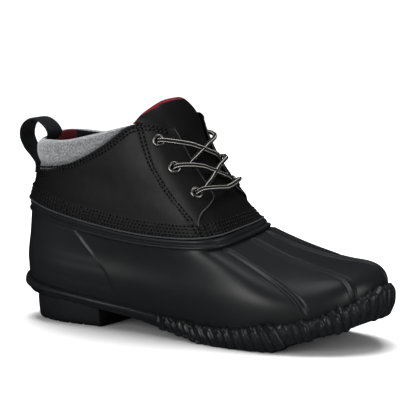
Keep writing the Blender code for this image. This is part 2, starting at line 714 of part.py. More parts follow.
def upper_columns(row):
    """Stations and lifts of the outer side of the upper at one row, heel to toe centre."""
    share, eye, edge = row
    columns = [(u, LEATHER_OUT, LEATHER_IN) for u in QUARTER_STATIONS]
    behind, out, inside = EYESTAY_BACK
    columns.append((eye - behind, out, inside))
    columns.append((eye, EYESTAY_OUT - EYELET_DIP, EYESTAY_IN))
    columns.append(((eye + edge) / 2, EYESTAY_OUT, EYESTAY_IN))
    columns.append((edge - EDGE_STEP, EYESTAY_OUT, EYESTAY_IN))
    columns.append((edge, VAMP_OUT, EYESTAY_IN))
    columns.extend((edge + (TIP - edge) * part, VAMP_OUT, LEATHER_IN) for part in VAMP_SHARES)
    return columns


def upper(collection, look):
    """Hollow leather upper: quarters with eyestays over a low vamp, open at throat and collar."""
    outer, inner = [], []
    for i, row in enumerate(UPPER):
        share = row[0]
        half = upper_columns(row)
        middle = [(TIP, VAMP_OUT, LEATHER_IN)]
        other = [(2 * TIP - u, out, inside) for u, out, inside in reversed(half[1:])]
        out_row, in_row = [], []
        for u, out, inside in half + middle + other:
            bottom = leg_share(u, LEATHER_UP)
            top = min(station(LEG_CURVE, LEG_COLUMNS, u)["leather"], 1.0)
            t = bottom + share * (top - bottom)
            if i <= THROAT_ROW:
                inside = LEATHER_IN
            out_row.append(skin(leg_surface, u, t, out))
            in_row.append(skin(leg_surface, u, t, inside))
        outer.append(out_row)
        inner.append(in_row)
    eye = len(QUARTER_STATIONS) + 1
    edge = eye + 2
    last = len(outer[0])
    open_cells = {(i, j) for i in range(THROAT_ROW, len(UPPER) - 1) for j in range(edge, last - edge)}
    holes = [(i, j, EYELET_HOLE) for i in EYELET_ROWS for j in (eye, last - eye)]
    made = wall(
        "upper", outer, inner, collection, look, closed=True, open_cells=open_cells, holes=holes,
    )
    seats = []
    for i, j, _ in holes:
        middle = np.asarray(outer[i][j])
        right = np.asarray(outer[i][j + 1]) - np.asarray(outer[i][j - 1])
        rise = np.asarray(outer[i + 1][j]) - np.asarray(outer[i - 1][j])
        normal = np.cross(right, rise)
        seats.append((middle, normal / np.linalg.norm(normal)))
    return made, seats


def collar_cuff(collection, look):
    """Padded cuff above the leather, its lower edge tucked inside it."""
    stations = list(CUFF_STATIONS) + [0.0] + [-u for u in reversed(CUFF_STATIONS)]
    sections = []
    for u in stations:
        length = leg_length(u)
        leather = station(LEG_CURVE, LEG_COLUMNS, u)["leather"] * length
        height = length - leather
        size = min(1.0, CUFF_SMALLEST + height / CUFF_FULL_HEIGHT)
        section = []
        for share, up, lift in CUFF_SECTION:
            place = leather + share * height + up * size
            section.append(beyond_leg(u, place, length, (lift - CUFF_MIDDLE) * size + CUFF_MIDDLE))
        sections.append(section)
    return closed_section("collar_cuff", sections, collection, look)


def beyond_leg(u, up, length, lift):
    """Point of the leg at a distance up, carried straight on above the collar."""
    if up <= length:
        return leg_point(u, up, lift)
    rise = leg_surface(u, 1.0) - leg_surface(u, 0.98)
    rise /= np.linalg.norm(rise)
    return skin(leg_surface, u, 1.0, lift) + rise * (up - length)


def tongue(collection, look):
    """Tongue under the eyestays, with its side wings and padded free top."""
    outer, inner = [], []
    for height, start, out, inside in TONGUE:
        out_row, in_row = [], []
        for k in range(TONGUE_SPLITS + 1):
            across = 2 * k / TONGUE_SPLITS - 1
            u = TIP + (TIP - start) * across
            wing = max(abs(across) - WING_START, 0.0) / (1 - WING_START)
            drop = WING_DROP * wing if height >= WING_HEIGHT else 0.0
            out_row.append(skin(tongue_surface, u, height / 2, out - drop))
            in_row.append(skin(tongue_surface, u, height / 2, inside - drop))
        outer.append(out_row)
        inner.append(in_row)
    return wall("tongue", outer, inner, collection, look)


def insole(collection, look):
    """Footbed on the plate, inside the shell."""
    stations = [2 * TIP * k / INSOLE_STEPS for k in range(INSOLE_STEPS)]
    rings = [[], []]
    for u in stations:
        x, y = foot_plan(u, -INSOLE_INSET)
        ledge = sole_at(x, "ledge_z") + INSOLE_SEAT
        rings[0].append((x, y, ledge))
        rings[1].append((x, y, ledge + INSOLE_THICK))
    return ring_solid("insole", rings, collection, look)


def pull_loop(collection, look):
    """Strap loop at the heel, sewn outside to the leather and inside to the cuff."""
    points = [np.array([row[0], row[1]]) for row in LOOP]
    path = []
    for k in range(len(points) - 1):
        before, a = points[max(k - 1, 0)], points[k]
        b, after = points[k + 1], points[min(k + 2, len(points) - 1)]
        for t in (0.0, 0.5):
            path.append(0.5 * (
                2 * a + (b - before) * t + (2 * before - 5 * a + 4 * b - after) * t * t
                + (3 * a - before - 3 * b + after) * t**3
            ))
    path.append(points[-1])
    sections = []
    for k, point in enumerate(path):
        along = path[min(k + 1, len(path) - 1)] - path[max(k - 1, 0)]
        along /= np.linalg.norm(along)
        side = np.array([-along[1], along[0]])
        section = []
        for y, out in ((-1, -1), (-1, 1), (1, 1), (1, -1)):
            x, z = point + side * out * LOOP_THICK / 2
            section.append((x, y * LOOP_WIDTH / 2, z))
        sections.append(section)
    return closed_section("pull_loop", sections, collection, look)


def backstay(collection, look):
    """Strip that covers the back seam."""
    outer, inner = [], []
    for up, half in BACKSTAY:
        widths = [half * k / 2 / HEEL_STATION_LENGTH for k in (-2, -1, 0, 1, 2)]
        outer.append([leg_point(u, up, LEATHER_OUT + GAP + BACKSTAY_THICK) for u in widths])
        inner.append([leg_point(u, up, LEATHER_OUT + GAP) for u in widths])
    return wall("backstay", outer, inner, collection, look)


def eyelets(collection, look, seats):
    """Six turned eyelets that share one profile, each square to the eyestay at its hole."""
    mesh = bpy.data.meshes.new("eyelet_profile")
    points = [(r * MM, 0.0, z * MM) for r, z in EYELET_PROFILE]
    count = len(points)
    mesh.from_pydata(points, [(k, (k + 1) % count) for k in range(count)], [])
    mesh.materials.append(look)
    for number, (centre, normal) in enumerate(seats, start=1):
        made = bpy.data.objects.new(f"eyelet_{number}", mesh)
        made.location = to_frame(centre)
        made.rotation_mode = "QUATERNION"
        made.rotation_quaternion = Vector(normal).to_track_quat("Z", "Y")
        turn = made.modifiers.new("Turn", "SCREW")
        turn.steps = EYELET_STEPS
        turn.render_steps = EYELET_STEPS
        turn.use_merge_vertices = True
        turn.merge_threshold = 0.00001
        turn.use_smooth_shade = True
        collection.objects.link(made)


def strand(name, points, collection, look):
    """One run of lace as a mesh, from a bevelled curve with welded caps."""
    curve = bpy.data.curves.new(name, "CURVE")
    curve.dimensions = "3D"
    curve.bevel_depth = CORD / 2 * MM
    curve.bevel_resolution = 2
    curve.use_fill_caps = True
    line = curve.splines.new("POLY")
    line.points.add(len(points) - 1)
    for target, point in zip(line.points, points):
        target.co = (*to_frame(point), 1.0)
    guide = bpy.data.objects.new(name + "_curve", curve)
    collection.objects.link(guide)
    bpy.context.view_layer.update()
    shape = guide.evaluated_get(bpy.context.evaluated_depsgraph_get())
    mesh = bpy.data.meshes.new_from_object(shape)
    bm = bmesh.new()
    bm.from_mesh(mesh)
    bmesh.ops.remove_doubles(bm, verts=bm.verts, dist=0.00001)
    bm.to_mesh(mesh)
    bm.free()
    mesh.materials.clear()
    mesh.materials.append(look)
    made = bpy.data.objects.new(name, mesh)
    made.matrix_world = guide.matrix_world
    bpy.data.objects.remove(guide)
    collection.objects.link(made)
    return made


def lace_path(row, mirrored):
    """Centre line of a strand: over its eyelet, down across the tongue to the other eyestay."""
    points = []
    for k in range(LACE_POINTS):
        s = k / (LACE_POINTS - 1)
        u = row["from_station"] + (row["to_station"] - row["from_station"]) * s
        t = (1 - s) ** 2 * row["from_height"] + 2 * s * (1 - s) * row["mid_height"] + s * s * row["to_height"]
        lift = float(np.interp(s, LACE_LIFT_SHARE, row["lifts"]))
        if mirrored:
            u = 2 * TIP - u
        points.append(skin(leg_surface, u, t, lift))
    return points


def laces(collection, cutters, look):
    """Lower bar and two crossings, each crossing one solid of two strands."""
    strand("lace_bar", lace_path(LACES["bar"], False), collection, look)
    for name in ("lower", "upper"):
        first = strand("lace_crossing_" + name, lace_path(LACES[name], False), collection, look)
        second = strand("lace_strand_" + name, lace_path(LACES[name], True), cutters, look)
        join(first, second, "UNION")


def build():
    for leftover in list(bpy.data.objects):
        bpy.data.objects.remove(leftover)
    boot = bpy.data.collections.new("duck_boot")
    cutters = bpy.data.collections.new("cutters")
    for made in (boot, cutters):
        bpy.context.scene.collection.children.link(made)
    rubber = material("Moulded rubber", "17181a", 0.38)
    leather = material("Smooth leather", "1b1b1d", 0.42)
    felt = material("Wool felt", "77797c", 0.95)
    fleece = material("Fleece-faced footbed", "4a1018", 0.95)
    webbing = material("Woven strap", "202126", 0.8)
    cord = material("Braided cord", "3a3a3c", 0.85)
    metal = material("Darkened steel", "7d7d80", 0.3, 1.0)
    outsole(boot, cutters, rubber)
    rubber_shell(boot, rubber)
    _, seats = upper(boot, leather)
    collar_cuff(boot, felt)
    tongue(boot, leather)
    insole(boot, fleece)
    pull_loop(boot, webbing)
    backstay(boot, leather)
    eyelets(boot, metal, seats)
    laces(boot, cutters, cord)


build()
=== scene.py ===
"""Looks of the right ankle duck boot, laid out as an add-on and run as a script.

Tables are in millimetres from the back of the heel, as the last is measured.
to_frame turns them to metres in the boot's frame: +X to the toe, +Y to the inner side, +Z up.
"""

import math

import bpy
import numpy as np
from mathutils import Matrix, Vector


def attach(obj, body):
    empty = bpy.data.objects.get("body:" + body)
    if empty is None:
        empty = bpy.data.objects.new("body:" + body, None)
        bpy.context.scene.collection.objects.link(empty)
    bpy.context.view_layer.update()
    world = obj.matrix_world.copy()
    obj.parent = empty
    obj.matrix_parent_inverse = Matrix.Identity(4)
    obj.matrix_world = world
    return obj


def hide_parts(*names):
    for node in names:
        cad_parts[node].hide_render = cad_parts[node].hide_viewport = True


bl_info = {
    "name": "Duck boot",
    "version": (1, 0, 0),
    "blender": (4, 5, 0),
    "location": "View3D > Sidebar > Boot",
    "description": "Dresses the duck boot's solids with rubber, leather, felt, fleece, stitches and lace",
    "category": "Object",
}

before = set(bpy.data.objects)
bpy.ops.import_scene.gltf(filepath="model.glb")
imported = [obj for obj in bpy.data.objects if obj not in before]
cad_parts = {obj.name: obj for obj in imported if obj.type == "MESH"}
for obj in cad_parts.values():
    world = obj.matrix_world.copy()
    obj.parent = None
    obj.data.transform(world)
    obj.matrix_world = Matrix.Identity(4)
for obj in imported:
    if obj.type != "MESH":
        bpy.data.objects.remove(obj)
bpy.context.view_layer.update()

MM = 0.001
HEEL_CENTRE = 38.0
# Station of the tip of the toe, count of stations round the foot, and steps to measure up the leg.
TIP = 8.0
ROUND = 16.0
LEG_STEPS = 25

# The last: sixteen stations round the foot, from the back of the heel along the outer side to the
# tip, which is station 8, and back along the inner side. SOLE goes by the distance from the heel.
FOOT_COLUMNS = ("x", "y", "wall_out", "wall_z", "shoulder_in", "shoulder_z", "vamp_in", "vamp_z")
FOOT = (
    (-1.5, 0.0, 4.0, 42, 0.2, 52, 0.6, 64),
    (7.5, -22.5, 4.0, 41, 0.2, 51, 0.6, 62),
    (38.0, -32.5, 5.0, 37, 0.1, 47, 0.5, 57),
    (92.0, -33.0, 6.5, 32, 0.1, 42, 0.5, 52),
    (142.0, -39.0, 6.0, 28, 0.1, 40, 0.5, 50),
    (190.0, -45.5, 4.5, 27, 0.1, 42, 0.45, 52),
    (230.0, -36.0, 3.5, 29, 0.12, 38, 0.5, 50),
    (253.0, -16.5, 4.0, 36, 0.05, 50, 0.5, 49),
    (262.0, 4.0, 4.2, 41, 0.06, 57, 0.5, 51),
    (258.5, 23.0, 4.4, 42, 0.07, 59, 0.5, 52),
    (235.0, 40.0, 4.0, 38, 0.08, 53, 0.5, 55),
    (190.0, 43.0, 4.5, 32, 0.12, 46, 0.5, 56),
    (142.0, 34.0, 6.0, 30, 0.2, 42, 0.5, 54),
    (92.0, 29.0, 6.5, 32, 0.15, 42, 0.5, 52),
    (38.0, 30.5, 5.0, 37, 0.1, 47, 0.5, 57),
    (7.5, 21.5, 4.0, 41, 0.2, 51, 0.6, 62),
)
LEG_COLUMNS = (
    "band_x", "band_y", "band_z", "low_in", "low_z", "high_in", "high_z",
    "top_x", "top_y", "top_z", "leather",
)
LEG = (
    (-1.0, 0.0, 75.3, 0.1, 88, 1.3, 96, 5.0, 0.0, 124.0, 0.68),
    (8.0, -21.5, 74.3, 0.1, 87, 1.2, 97, 12.5, -19.5, 124.5, 0.69),
    (38.5, -33.0, 68.4, 0.3, 82, 0.8, 103, 40.5, -31.0, 127.0, 0.74),
    (90.0, -39.0, 62.0, 0.25, 82, 0.7, 110, 73.8, -33.5, 134.7, 0.88),
    (128.0, -41.5, 60.4, 0.22, 84, 0.75, 112, 95.8, -31.5, 140.0, 1.0),
    (156.0, -40.5, 61.4, 0.14, 80, 0.77, 112, 108.3, -26.5, 141.3, 1.0),
    (167.5, -29.0, 63.2, 0.14, 84, 0.77, 112, 118.6, -20.0, 138.3, 1.0),
    (172.0, -11.0, 66.0, 0.24, 84, 0.82, 112, 122.5, -10.0, 138.0, 1.0),
    (174.5, 3.0, 68.2, 0.33, 84, 0.86, 111, 123.5, 0.5, 138.0, 1.0),
    (174.5, 14.0, 69.6, 0.38, 84, 0.87, 111, 122.5, 11.0, 138.0, 1.0),
    (169.0, 28.0, 69.4, 0.34, 84, 0.84, 112, 118.6, 21.0, 138.3, 1.0),
    (154.0, 37.5, 66.5, 0.24, 82, 0.8, 112, 108.3, 27.5, 141.3, 1.0),
    (126.0, 37.5, 62.8, 0.22, 84, 0.75, 112, 95.8, 32.0, 140.0, 1.0),
    (90.0, 35.0, 62.7, 0.25, 82, 0.7, 110, 73.8, 33.5, 134.7, 0.88),
    (38.5, 31.5, 68.4, 0.3, 82, 0.8, 103, 40.5, 31.0, 127.0, 0.74),
    (8.0, 21.0, 74.3, 0.1, 87, 1.2, 97, 12.5, 19.5, 124.5, 0.69),
)
SOLE_COLUMNS = ("x", "under_z", "ledge_z", "rand_z", "rim_out", "tuck")
SOLE = (
    (-5.0, 18.0, 24.5, 31.5, 4.4, 5.6),
    (12.0, 18.0, 24.0, 27.5, 3.6, 4.6),
    (38.0, 17.0, 22.0, 24.0, 3.2, 2.8),
    (72.0, 12.8, 17.5, 20.0, 2.8, 2.0),
    (96.0, 10.0, 14.0, 17.8, 2.6, 1.8),
    (120.0, 6.2, 11.0, 15.4, 3.0, 1.8),
    (145.0, 2.6, 8.8, 13.6, 3.6, 1.8),
    (165.0, 0.0, 8.0, 12.6, 4.2, 2.0),
    (190.0, 0.0, 8.0, 14.0, 4.6, 2.2),
    (207.0, 0.3, 8.6, 17.4, 4.8, 2.4),
    (222.0, 4.6, 10.8, 19.4, 5.0, 2.6),
    (238.0, 10.2, 14.6, 23.4, 5.4, 3.0),
    (252.0, 14.4, 18.6, 30.4, 6.0, 3.6),
    (266.0, 20.4, 25.6, 40.5, 6.6, 4.4),
)

# Rubber shell, and the gap between it and the sole.
GAP = 0.35
SHELL_COLUMNS = 700
SHELL_ROWS = 64
SHELL_THICK = 2.6
# Stations where the shell needs finer columns, with half their width.
FINE_STATIONS = ((2.6, 0.45), (13.4, 0.45), (5.98, 0.2), (7.22, 0.3), (8.82, 0.2), (10.07, 0.2))
# Ridges and the counter's edge run from a station at the band to one at the sole.
RELIEF_START = 0.03
RIDGES = ((5.92, 6.05), (7.38, 7.08), (8.85, 8.8), (10.05, 10.1))
COUNTER = (2.28, 2.88)
EDGE_BEND = 1.7
RIDGE_HALF = 1.2
# Grooves beside a ridge: distance from its middle, half width and depth.
RIDGE_GROOVES = (2.4, 0.8, 0.55)
COUNTER_LIFT = 0.7
# Crest along the counter's edge: height and half width.
COUNTER_CREST = (0.8, 1.3)
# Band: distance up from its lower edge and out of the leg.
BAND = (
    (0.0, 0.1), (0.25, 1.0), (0.7, 1.8), (1.6, 2.1), (2.5, 1.8), (3.1, 1.15), (3.6, 1.0), (4.1, 1.3),
    (5.0, 1.8), (6.1, 1.9), (6.9, 1.6), (7.3, 1.0), (7.5, 0.1), (7.6, -1.0), (8.8, -1.9), (12.5, -1.9),
)

# Leather: lower edge above the band's lower edge, and lifts of vamp, quarter and eyestay.
LEATHER_UP = 7.8
VAMP_LIFT = 1.0
QUARTER_LIFT = 1.5
EYESTAY_LIFT = 2.85
LEATHER_THICK = 1.1
INNER_STAY_RISE = 5.0
# Quarter: share of its height, station of its eyelet line and station of its front edge.
QUARTER_COLUMNS = ("share", "eye", "edge")
QUARTER = (
    (0.0, 4.6, 5.15),
    (0.07, 4.65, 5.2),
    (0.15, 4.7, 5.25),
    (0.23, 4.9, 5.5),
    (0.3, 5.35, 6.1),
    (0.36, 5.68, 6.5),
    (0.42, 5.75, 6.5),
    (0.53, 5.55, 6.45),
    (0.64, 5.36, 6.4),
    (0.75, 5.25, 6.38),
    (0.857, 5.15, 6.35),
    (0.93, 5.12, 6.3),
    (1.0, 5.1, 6.2),
)
EYELET_SHARES = (0.42, 0.64, 0.857)
EYELET_FOOT = 6.6
EYELET_HOLE = 2.7
# Eyelet: radius, and height over the leather, round its section.
EYELET_PROFILE = (
    (2.45, -1.6), (2.45, 0.2), (2.6, 0.75), (2.95, 1.05), (3.4, 1.15), (3.95, 0.95), (4.4, 0.5), (4.5, 0.0),
    (4.35, -0.15), (2.85, -0.1), (2.7, -1.6), (2.45, -1.6),
)
# Both quarters, as on_side takes them, with the words for their names.
SIDES = ((1, "outer"), (-1, "inner"))
# Troughs under the stitches, and the dent round an eyelet: depth and half width.
BAND_TROUGH = (0.38, 0.6)
TOP_TROUGH = (0.2, 0.5)
STAY_TROUGH = (0.35, 0.6)
EYELET_DENT = (0.3, 4.6)
# Stitch rows: distances up from the leather's lower edge and down from its top edge, and behind the
# eyelets the share and station of the front row, and the distances of the rows behind it.
BAND_ROWS = (1.9, 4.4, 6.9, 9.4)
TOP_ROWS = (2.6, 4.9)
STAY_LINE = (
    (0.0, 5.3), (0.178, 5.11), (0.266, 4.98), (0.458, 4.69), (0.698, 4.49), (0.955, 4.51), (1.0, 4.52),
)
STAY_ROWS = (0.0, 2.7)
# Creases of a quarter: route in x and height, width, and lift. Distances along y count for less.
QUARTER_CREASES = (
    (((118, 128), (128, 112), (136, 101)), 5.0, -0.35),
    (((60, 104), (84, 99), (104, 97)), 9.0, -0.5),
    (((30, 92), (52, 88), (74, 86)), 7.0, 0.35),
    (((104, 92), (122, 88), (138, 88)), 7.0, 0.4),
)
CREASE_FLAT = 0.35
CREASE_OUT = 38.0
# Creases of the vamp: route, width and lift.
VAMP_CREASES = (
    (((160, -30, 84), (166, -8, 92), (166, 12, 92)), 5.0, -0.5),
    (((150, -18, 100), (156, 0, 100), (154, 14, 100)), 4.5, -0.5),
    (((168, -22, 78), (172, 0, 84), (172, 16, 84)), 4.0, 0.3),
)

# Tongue and vamp in one: height is a share of the leg up to 1 and of the free top past it.
TONGUE_COLUMNS = ("height", "station", "out", "thick")
TONGUE = (
    (0.0, 4.8, 1.0, 1.2),
    (0.25, 4.9, 1.0, 1.2),
    (0.36, 5.0, 1.0, 1.2),
    (0.43, 5.0, 1.0, 1.3),
    (0.5, 5.0, 0.9, 1.6),
    (0.58, 5.0, 0.75, 1.8),
    (0.68, 4.95, 0.6, 1.9),
    (0.78, 4.9, 0.5, 1.9),
    (0.89, 4.7, 0.5, 1.9),
    (1.0, 4.4, 0.4, 1.9),
    (1.25, 4.32, 0.5, 1.9),
    (1.5, 4.3, 0.7, 1.9),
    (1.75, 4.35, 0.9, 1.9),
    (1.88, 4.5, 0.8, 1.8),
    (1.95, 4.8, 0.4, 1.6),
    (2.0, 5.3, -0.3, 0.9),
)
VAMP_MARGIN = 0.3
TONGUE_TOP = (112.0, 0.0, 156.6)
TONGUE_TOP_HALF = 31.5
TONGUE_TOP_DROP = 14.5
TONGUE_TOP_SWEEP = 17.0
WING_START = 0.55
WING_DROP = 1.9
# Tongue: shares of its thickness down to which its leather and its fleece reach. The fleece is wider
# by some stations at the top, starts at a height of its own and ends a little above the leather.
LEATHER_LAYER = 0.62
FLEECE_LAYER = 2.2
FLEECE_WIDEN = 0.26
FLEECE_LOWEST = 0.6
FLEECE_RISE = 1.4

# Padded cuff: share of the height above the leather, fixed distance up, and lift.
CUFF_SECTION = (
    (0.0, -9.0, -1.5),
    (0.0, -0.6, -1.3),
    (0.0, 0.8, -0.8),
    (0.3, 0.5, 1.2),
    (0.7, 0.0, 1.3),
    (1.0, -1.6, 0.2),
    (1.0, 0.0, -2.6),
    (1.0, -1.8, -5.2),
    (0.5, 0.0, -6.0),
    (0.0, -9.0, -5.0),
)
CUFF_END = 3.9
CUFF_SMALLEST = 0.25
CUFF_FULL_HEIGHT = 12.0
CUFF_MIDDLE = -1.3
INNER_CUFF_RISE = 4.6
# Lining: its half width in stations, and a shift of its check that puts a red square at the inner back.
LINING_END = 4.7
LINING_SHIFT = 34.0
LINING_THICK = 0.5
# Lining below the cuff: distances from the collar down and up from the band between which it goes
# straight, and its depths inside the leg at both ends and inside the shell.
LINING_RUN = (14.5, 3.0)
LINING_DEEP = (4.3, 4.6, 3.6)
# Upper part of the lining, in the same columns as the cuff's section.
LINING_SECTION = (
    (1.0, -0.9, -5.0), (1.0, -2.6, -6.1), (0.5, 0.0, -6.9), (0.0, -9.0, -6.0), (0.0, -11.5, -3.2),
)
# Edge of the footbed: distance in from the foot's outline, and height over its underside.
INSOLE_EDGE = ((4.0, 0.0), (4.0, 3.0), (4.5, 3.8), (5.5, 4.0))
INSOLE_UP = 0.55
INSOLE_HOLLOW = 0.6

# Pull loop: x and height along its middle.
LOOP = (
    (0.9, 99.5),
    (1.0, 106.0),
    (-2.6, 110.8),
    (-8.6, 117.0),
    (-12.0, 124.5),
    (-10.6, 131.5),
    (-5.4, 136.2),
    (0.6, 136.8),
    (6.8, 133.8),
    (11.0, 129.2),
    (11.4, 124.6),
    (10.2, 120.6),
)
LOOP_WIDTH = 18.0
LOOP_THICK = 1.6

# Backstay: distance up the leg, and half its width.
BACKSTAY = ((9.0, 8.0), (13.0, 6.8), (18.0, 6.0), (30.0, 6.0))
BACKSTAY_RUN = (9.6, 29.0)
BACKSTAY_THICK = 1.0
HEEL_STATION_LENGTH = 24.0

# Laces: station and height of the start, height of the middle, station and height of the end, and lifts
# at the shares below. The height is a share of the leg.
LACES = {
    "bar": (5.75, 0.472, 0.44, 10.25, 0.472, (6.7, 6.6, 5.7, 3.6, 5.7, 6.6, 6.7)),
    "lower": (5.36, 0.672, 0.66, 9.35, 0.53, (6.7, 6.5, 5.3, 3.5, 3.1, 3.1, 3.1)),
    "upper": (5.15, 0.87, 0.85, 9.45, 0.73, (6.7, 6.5, 5.3, 3.5, 3.1, 3.1, 3.1)),
}
LACE_LIFT_SHARE = (0.0, 0.14, 0.27, 0.5, 0.73, 0.86, 1.0)
LACE_SIDES = 14
# Lace down through its eyelet: distance along the strand, and out of the leather. Its route takes over
# from the fifth point on, where that is more than EYELET_CLEAR away from the eyelet.
EYELET_BEND = ((-0.6, -3.2), (-0.3, -1.8), (0.1, -0.2), (1.2, 1.6), (3.2, 2.6), (5.6, 2.7))
EYELET_CLEAR = 8.5
# Lace under the other eyestay: stations and height past the strand's end, and lift.
LACE_TAIL = ((0.15, -0.01, 2.2), (0.5, -0.04, 1.2), (0.9, -0.07, 0.6))

# Sole: where the rope pattern starts, heel block and tread.
ROPE_START = 119.0
HEEL_FRONT = 70.0
HEEL_INSET = 4.5
# Rings of the heel block: height, and distance out of the foot. The last one follows the sole's underside.
HEEL_BLOCK = (
    (0.0, -3.4), (0.25, -2.7), (0.9, -2.2), (1.8, -1.6), (4.0, -1.2), (9.0, -0.7),
    (14.0, -0.4), (99.0, -0.2),
)
HEEL_GROOVES = (21.5, 32.5, 43.5, 54.5)
HEEL_GROOVE = (0.003, 0.09, 0.0036)
TREAD_GROOVES = (150.0, 161.0, 172.0, 183.0, 194.0, 205.0, 216.0, 227.0)
GROOVE_WIDTH = 3.0
GROOVE_DEPTH = 1.8
CHEVRON_SWEEP = 6.0
CHEVRON_MARGIN = 4.0
SEED = 7

# Spread of the stitches in size, and in metres to the side and in depth, and half sizes of the dark dot
# that paints the shade in a needle hole, as shares of the thread.
SIZE_SPREAD = 0.14
SIDE_SPREAD = 0.00012
DEPTH_SPREAD = 0.00005
HOLE_HALF = (0.68, 0.6, 0.4)


def linear(code):
    """sRGB hex code as linear red, green, blue and alpha."""
    parts = [int(code[i:i + 2], 16) / 255 for i in (0, 2, 4)]
    return (*[c / 12.92 if c <= 0.04045 else ((c + 0.055) / 1.055) ** 2.4 for c in parts], 1.0)


def tint(name, description, code):
    """Property that holds a colour, from its hex code."""
    return bpy.props.FloatVectorProperty(
        name=name, description=description, subtype="COLOR", size=4, default=linear(code),
    )


def measure(name, description, default):
    """Property that holds a length in metres."""
    return bpy.props.FloatProperty(name=name, description=description, default=default, unit="LENGTH")


class BootColours(bpy.types.PropertyGroup):
    """Colours of the boot's materials."""

    rubber: tint("Rubber", "Moulded shell and sole", "1a1b1d")
    # Painted shade: the colour that darkens the grooves between the strands of the rope rand.
    groove_shade: tint("Rope hollow", "Hollows between the strands of the rand", "060607")
    leather: tint("Leather", "Quarters, vamp and tongue", "101010")
    # Lighter than the leather partly as a burnished edge is, and partly as a painted highlight along it.
    edge: tint("Leather edge", "Cut and waxed edges of the leather", "3d3e40")
    thread: tint("Thread", "Stitches", "1c1c1d")
    # Painted shade: near-black dots laid at the stitch ends stand for the shade in the needle holes.
    hole: tint("Needle hole", "Holes at the ends of the stitches", "050505")
    felt: tint("Felt", "Main grey of the cuff", "6f7173")
    felt_dark: tint("Felt, dark", "Dark fibres of the cuff", "494b4e")
    felt_light: tint("Felt, light", "Light fibres of the cuff", "929496")
    check_red: tint("Check red", "Red of the fleece", "6a0a20")
    check_black: tint("Check black", "Black of the fleece", "070606")
    strap: tint("Strap", "Pull loop", "0e1014")
    cord: tint("Lace", "Ground colour of the lace", "0a0a0a")
    stripe: tint("Lace stripe", "Stripes of the lace", "d2d0c8")
    metal: tint("Eyelet", "Plated eyelets", "b4b2ae")


class BootSizes(bpy.types.PropertyGroup):
    """Sizes of the boot's details, in metres."""

    stitch_pitch: measure("Stitch pitch", "Distance between stitches", 0.0028)
    stitch_length: measure("Stitch length", "Length of a stitch that shows", 0.0019)
    thread: measure("Thread", "Thickness of the thread", 0.0013)
    lace: measure("Lace", "Diameter of the lace", 0.003)
    ridge: measure("Ridge", "Height of the ridges on the vamp", 0.0015)
    rope_pitch: measure("Rope pitch", "Distance between strands of the rand", 0.0068)
    rope_depth: measure("Rope depth", "Depth between strands of the rand", 0.0023)
    check: measure("Check", "Width of a check of the fleece", 0.022)


# Curves and surfaces of the last, for whole arrays of stations and shares at once.


def closed_spline(columns, rows):
    """Smooth closed curve through a station table: its columns, values and second derivatives."""
    values = np.array(rows, float)
    count = len(values)
    system = 4 * np.eye(count) + np.roll(np.eye(count), 1, 0) + np.roll(np.eye(count), -1, 0)
    bend = 6 * (np.roll(values, -1, 0) - 2 * values + np.roll(values, 1, 0))
    return columns, values, np.linalg.solve(system, bend)


FOOT_CURVE = closed_spline(FOOT_COLUMNS, FOOT)
LEG_CURVE = closed_spline(LEG_COLUMNS, LEG)


def station(curve, u):
    """Columns of a station table at station numbers u, by name."""
    columns, values, second = curve
    u = np.asarray(u, float)
    whole = np.floor(u).astype(int)
    t = (u - whole)[..., None]
    i = whole % len(values)
    j = (i + 1) % len(values)
    s = 1 - t
    row = s * values[i] + t * values[j] + (s**3 - s) * second[i] / 6 + (t**3 - t) * second[j] / 6
    return {name: row[..., k] for k, name in enumerate(columns)}


def unit(ways):
    return ways / np.linalg.norm(ways, axis=-1, keepdims=True)


def run_along(points):
    """Distance along a line at each of its points."""
    return np.concatenate([[0], np.cumsum(np.linalg.norm(np.diff(points, axis=0), axis=1))])


def on_side(u, side):
    """Stations of the outer side, or where side is -1 their mirror image on the inner side."""
    return u if side > 0 else ROUND - u


def between(xs, ys, x):
    """Smooth values between the rows of a table, without overshoot."""
    xs, ys = np.asarray(xs, float), np.asarray(ys, float)
    widths = np.diff(xs)
    secants = np.diff(ys) / widths
    slopes = np.zeros(len(xs))
    before, after = secants[:-1], secants[1:]
    rising = before * after > 0
    slopes[1:-1][rising] = 2 * before[rising] * after[rising] / (before[rising] + after[rising])
    x = np.clip(x, xs[0], xs[-1])
    i = np.clip(np.searchsorted(xs, x, side="right") - 1, 0, len(xs) - 2)
    t = (x - xs[i]) / widths[i]
    rise = (2 * t**3 - 3 * t**2 + 1) * ys[i] + (3 * t**2 - 2 * t**3) * ys[i + 1]
    return rise + widths[i] * ((t**3 - 2 * t**2 + t) * slopes[i] + (t**3 - t**2) * slopes[i + 1])


def column(table, names, name, x):
    """One column of a table at places x along its first column."""
    rows = np.asarray(table, float)
    return between(rows[:, 0], rows[:, names.index(name)], x)


def sole_at(x, name):
    return column(SOLE, SOLE_COLUMNS, name, x)


def quarter_at(share, name):
    return column(QUARTER, QUARTER_COLUMNS, name, share)


def foot_plan(u, out=0.0):
    """Points of the foot outline in plan, moved out of the foot by a distance."""
    here, after, before = (station(FOOT_CURVE, np.asarray(u) + step) for step in (0, 0.02, -0.02))
    along = unit(np.stack([after["x"] - before["x"], after["y"] - before["y"]], -1))
    return np.stack([here["x"] + along[..., 1] * out, here["y"] - along[..., 0] * out], -1)


def bezier(a, b, c, d, t):
    s = 1 - t
    return s**3 * a + 3 * t * s * s * b + 3 * t * t * s * c + t**3 * d


def with_z(plan, z):
    return np.concatenate([plan, np.asarray(z)[..., None]], -1)


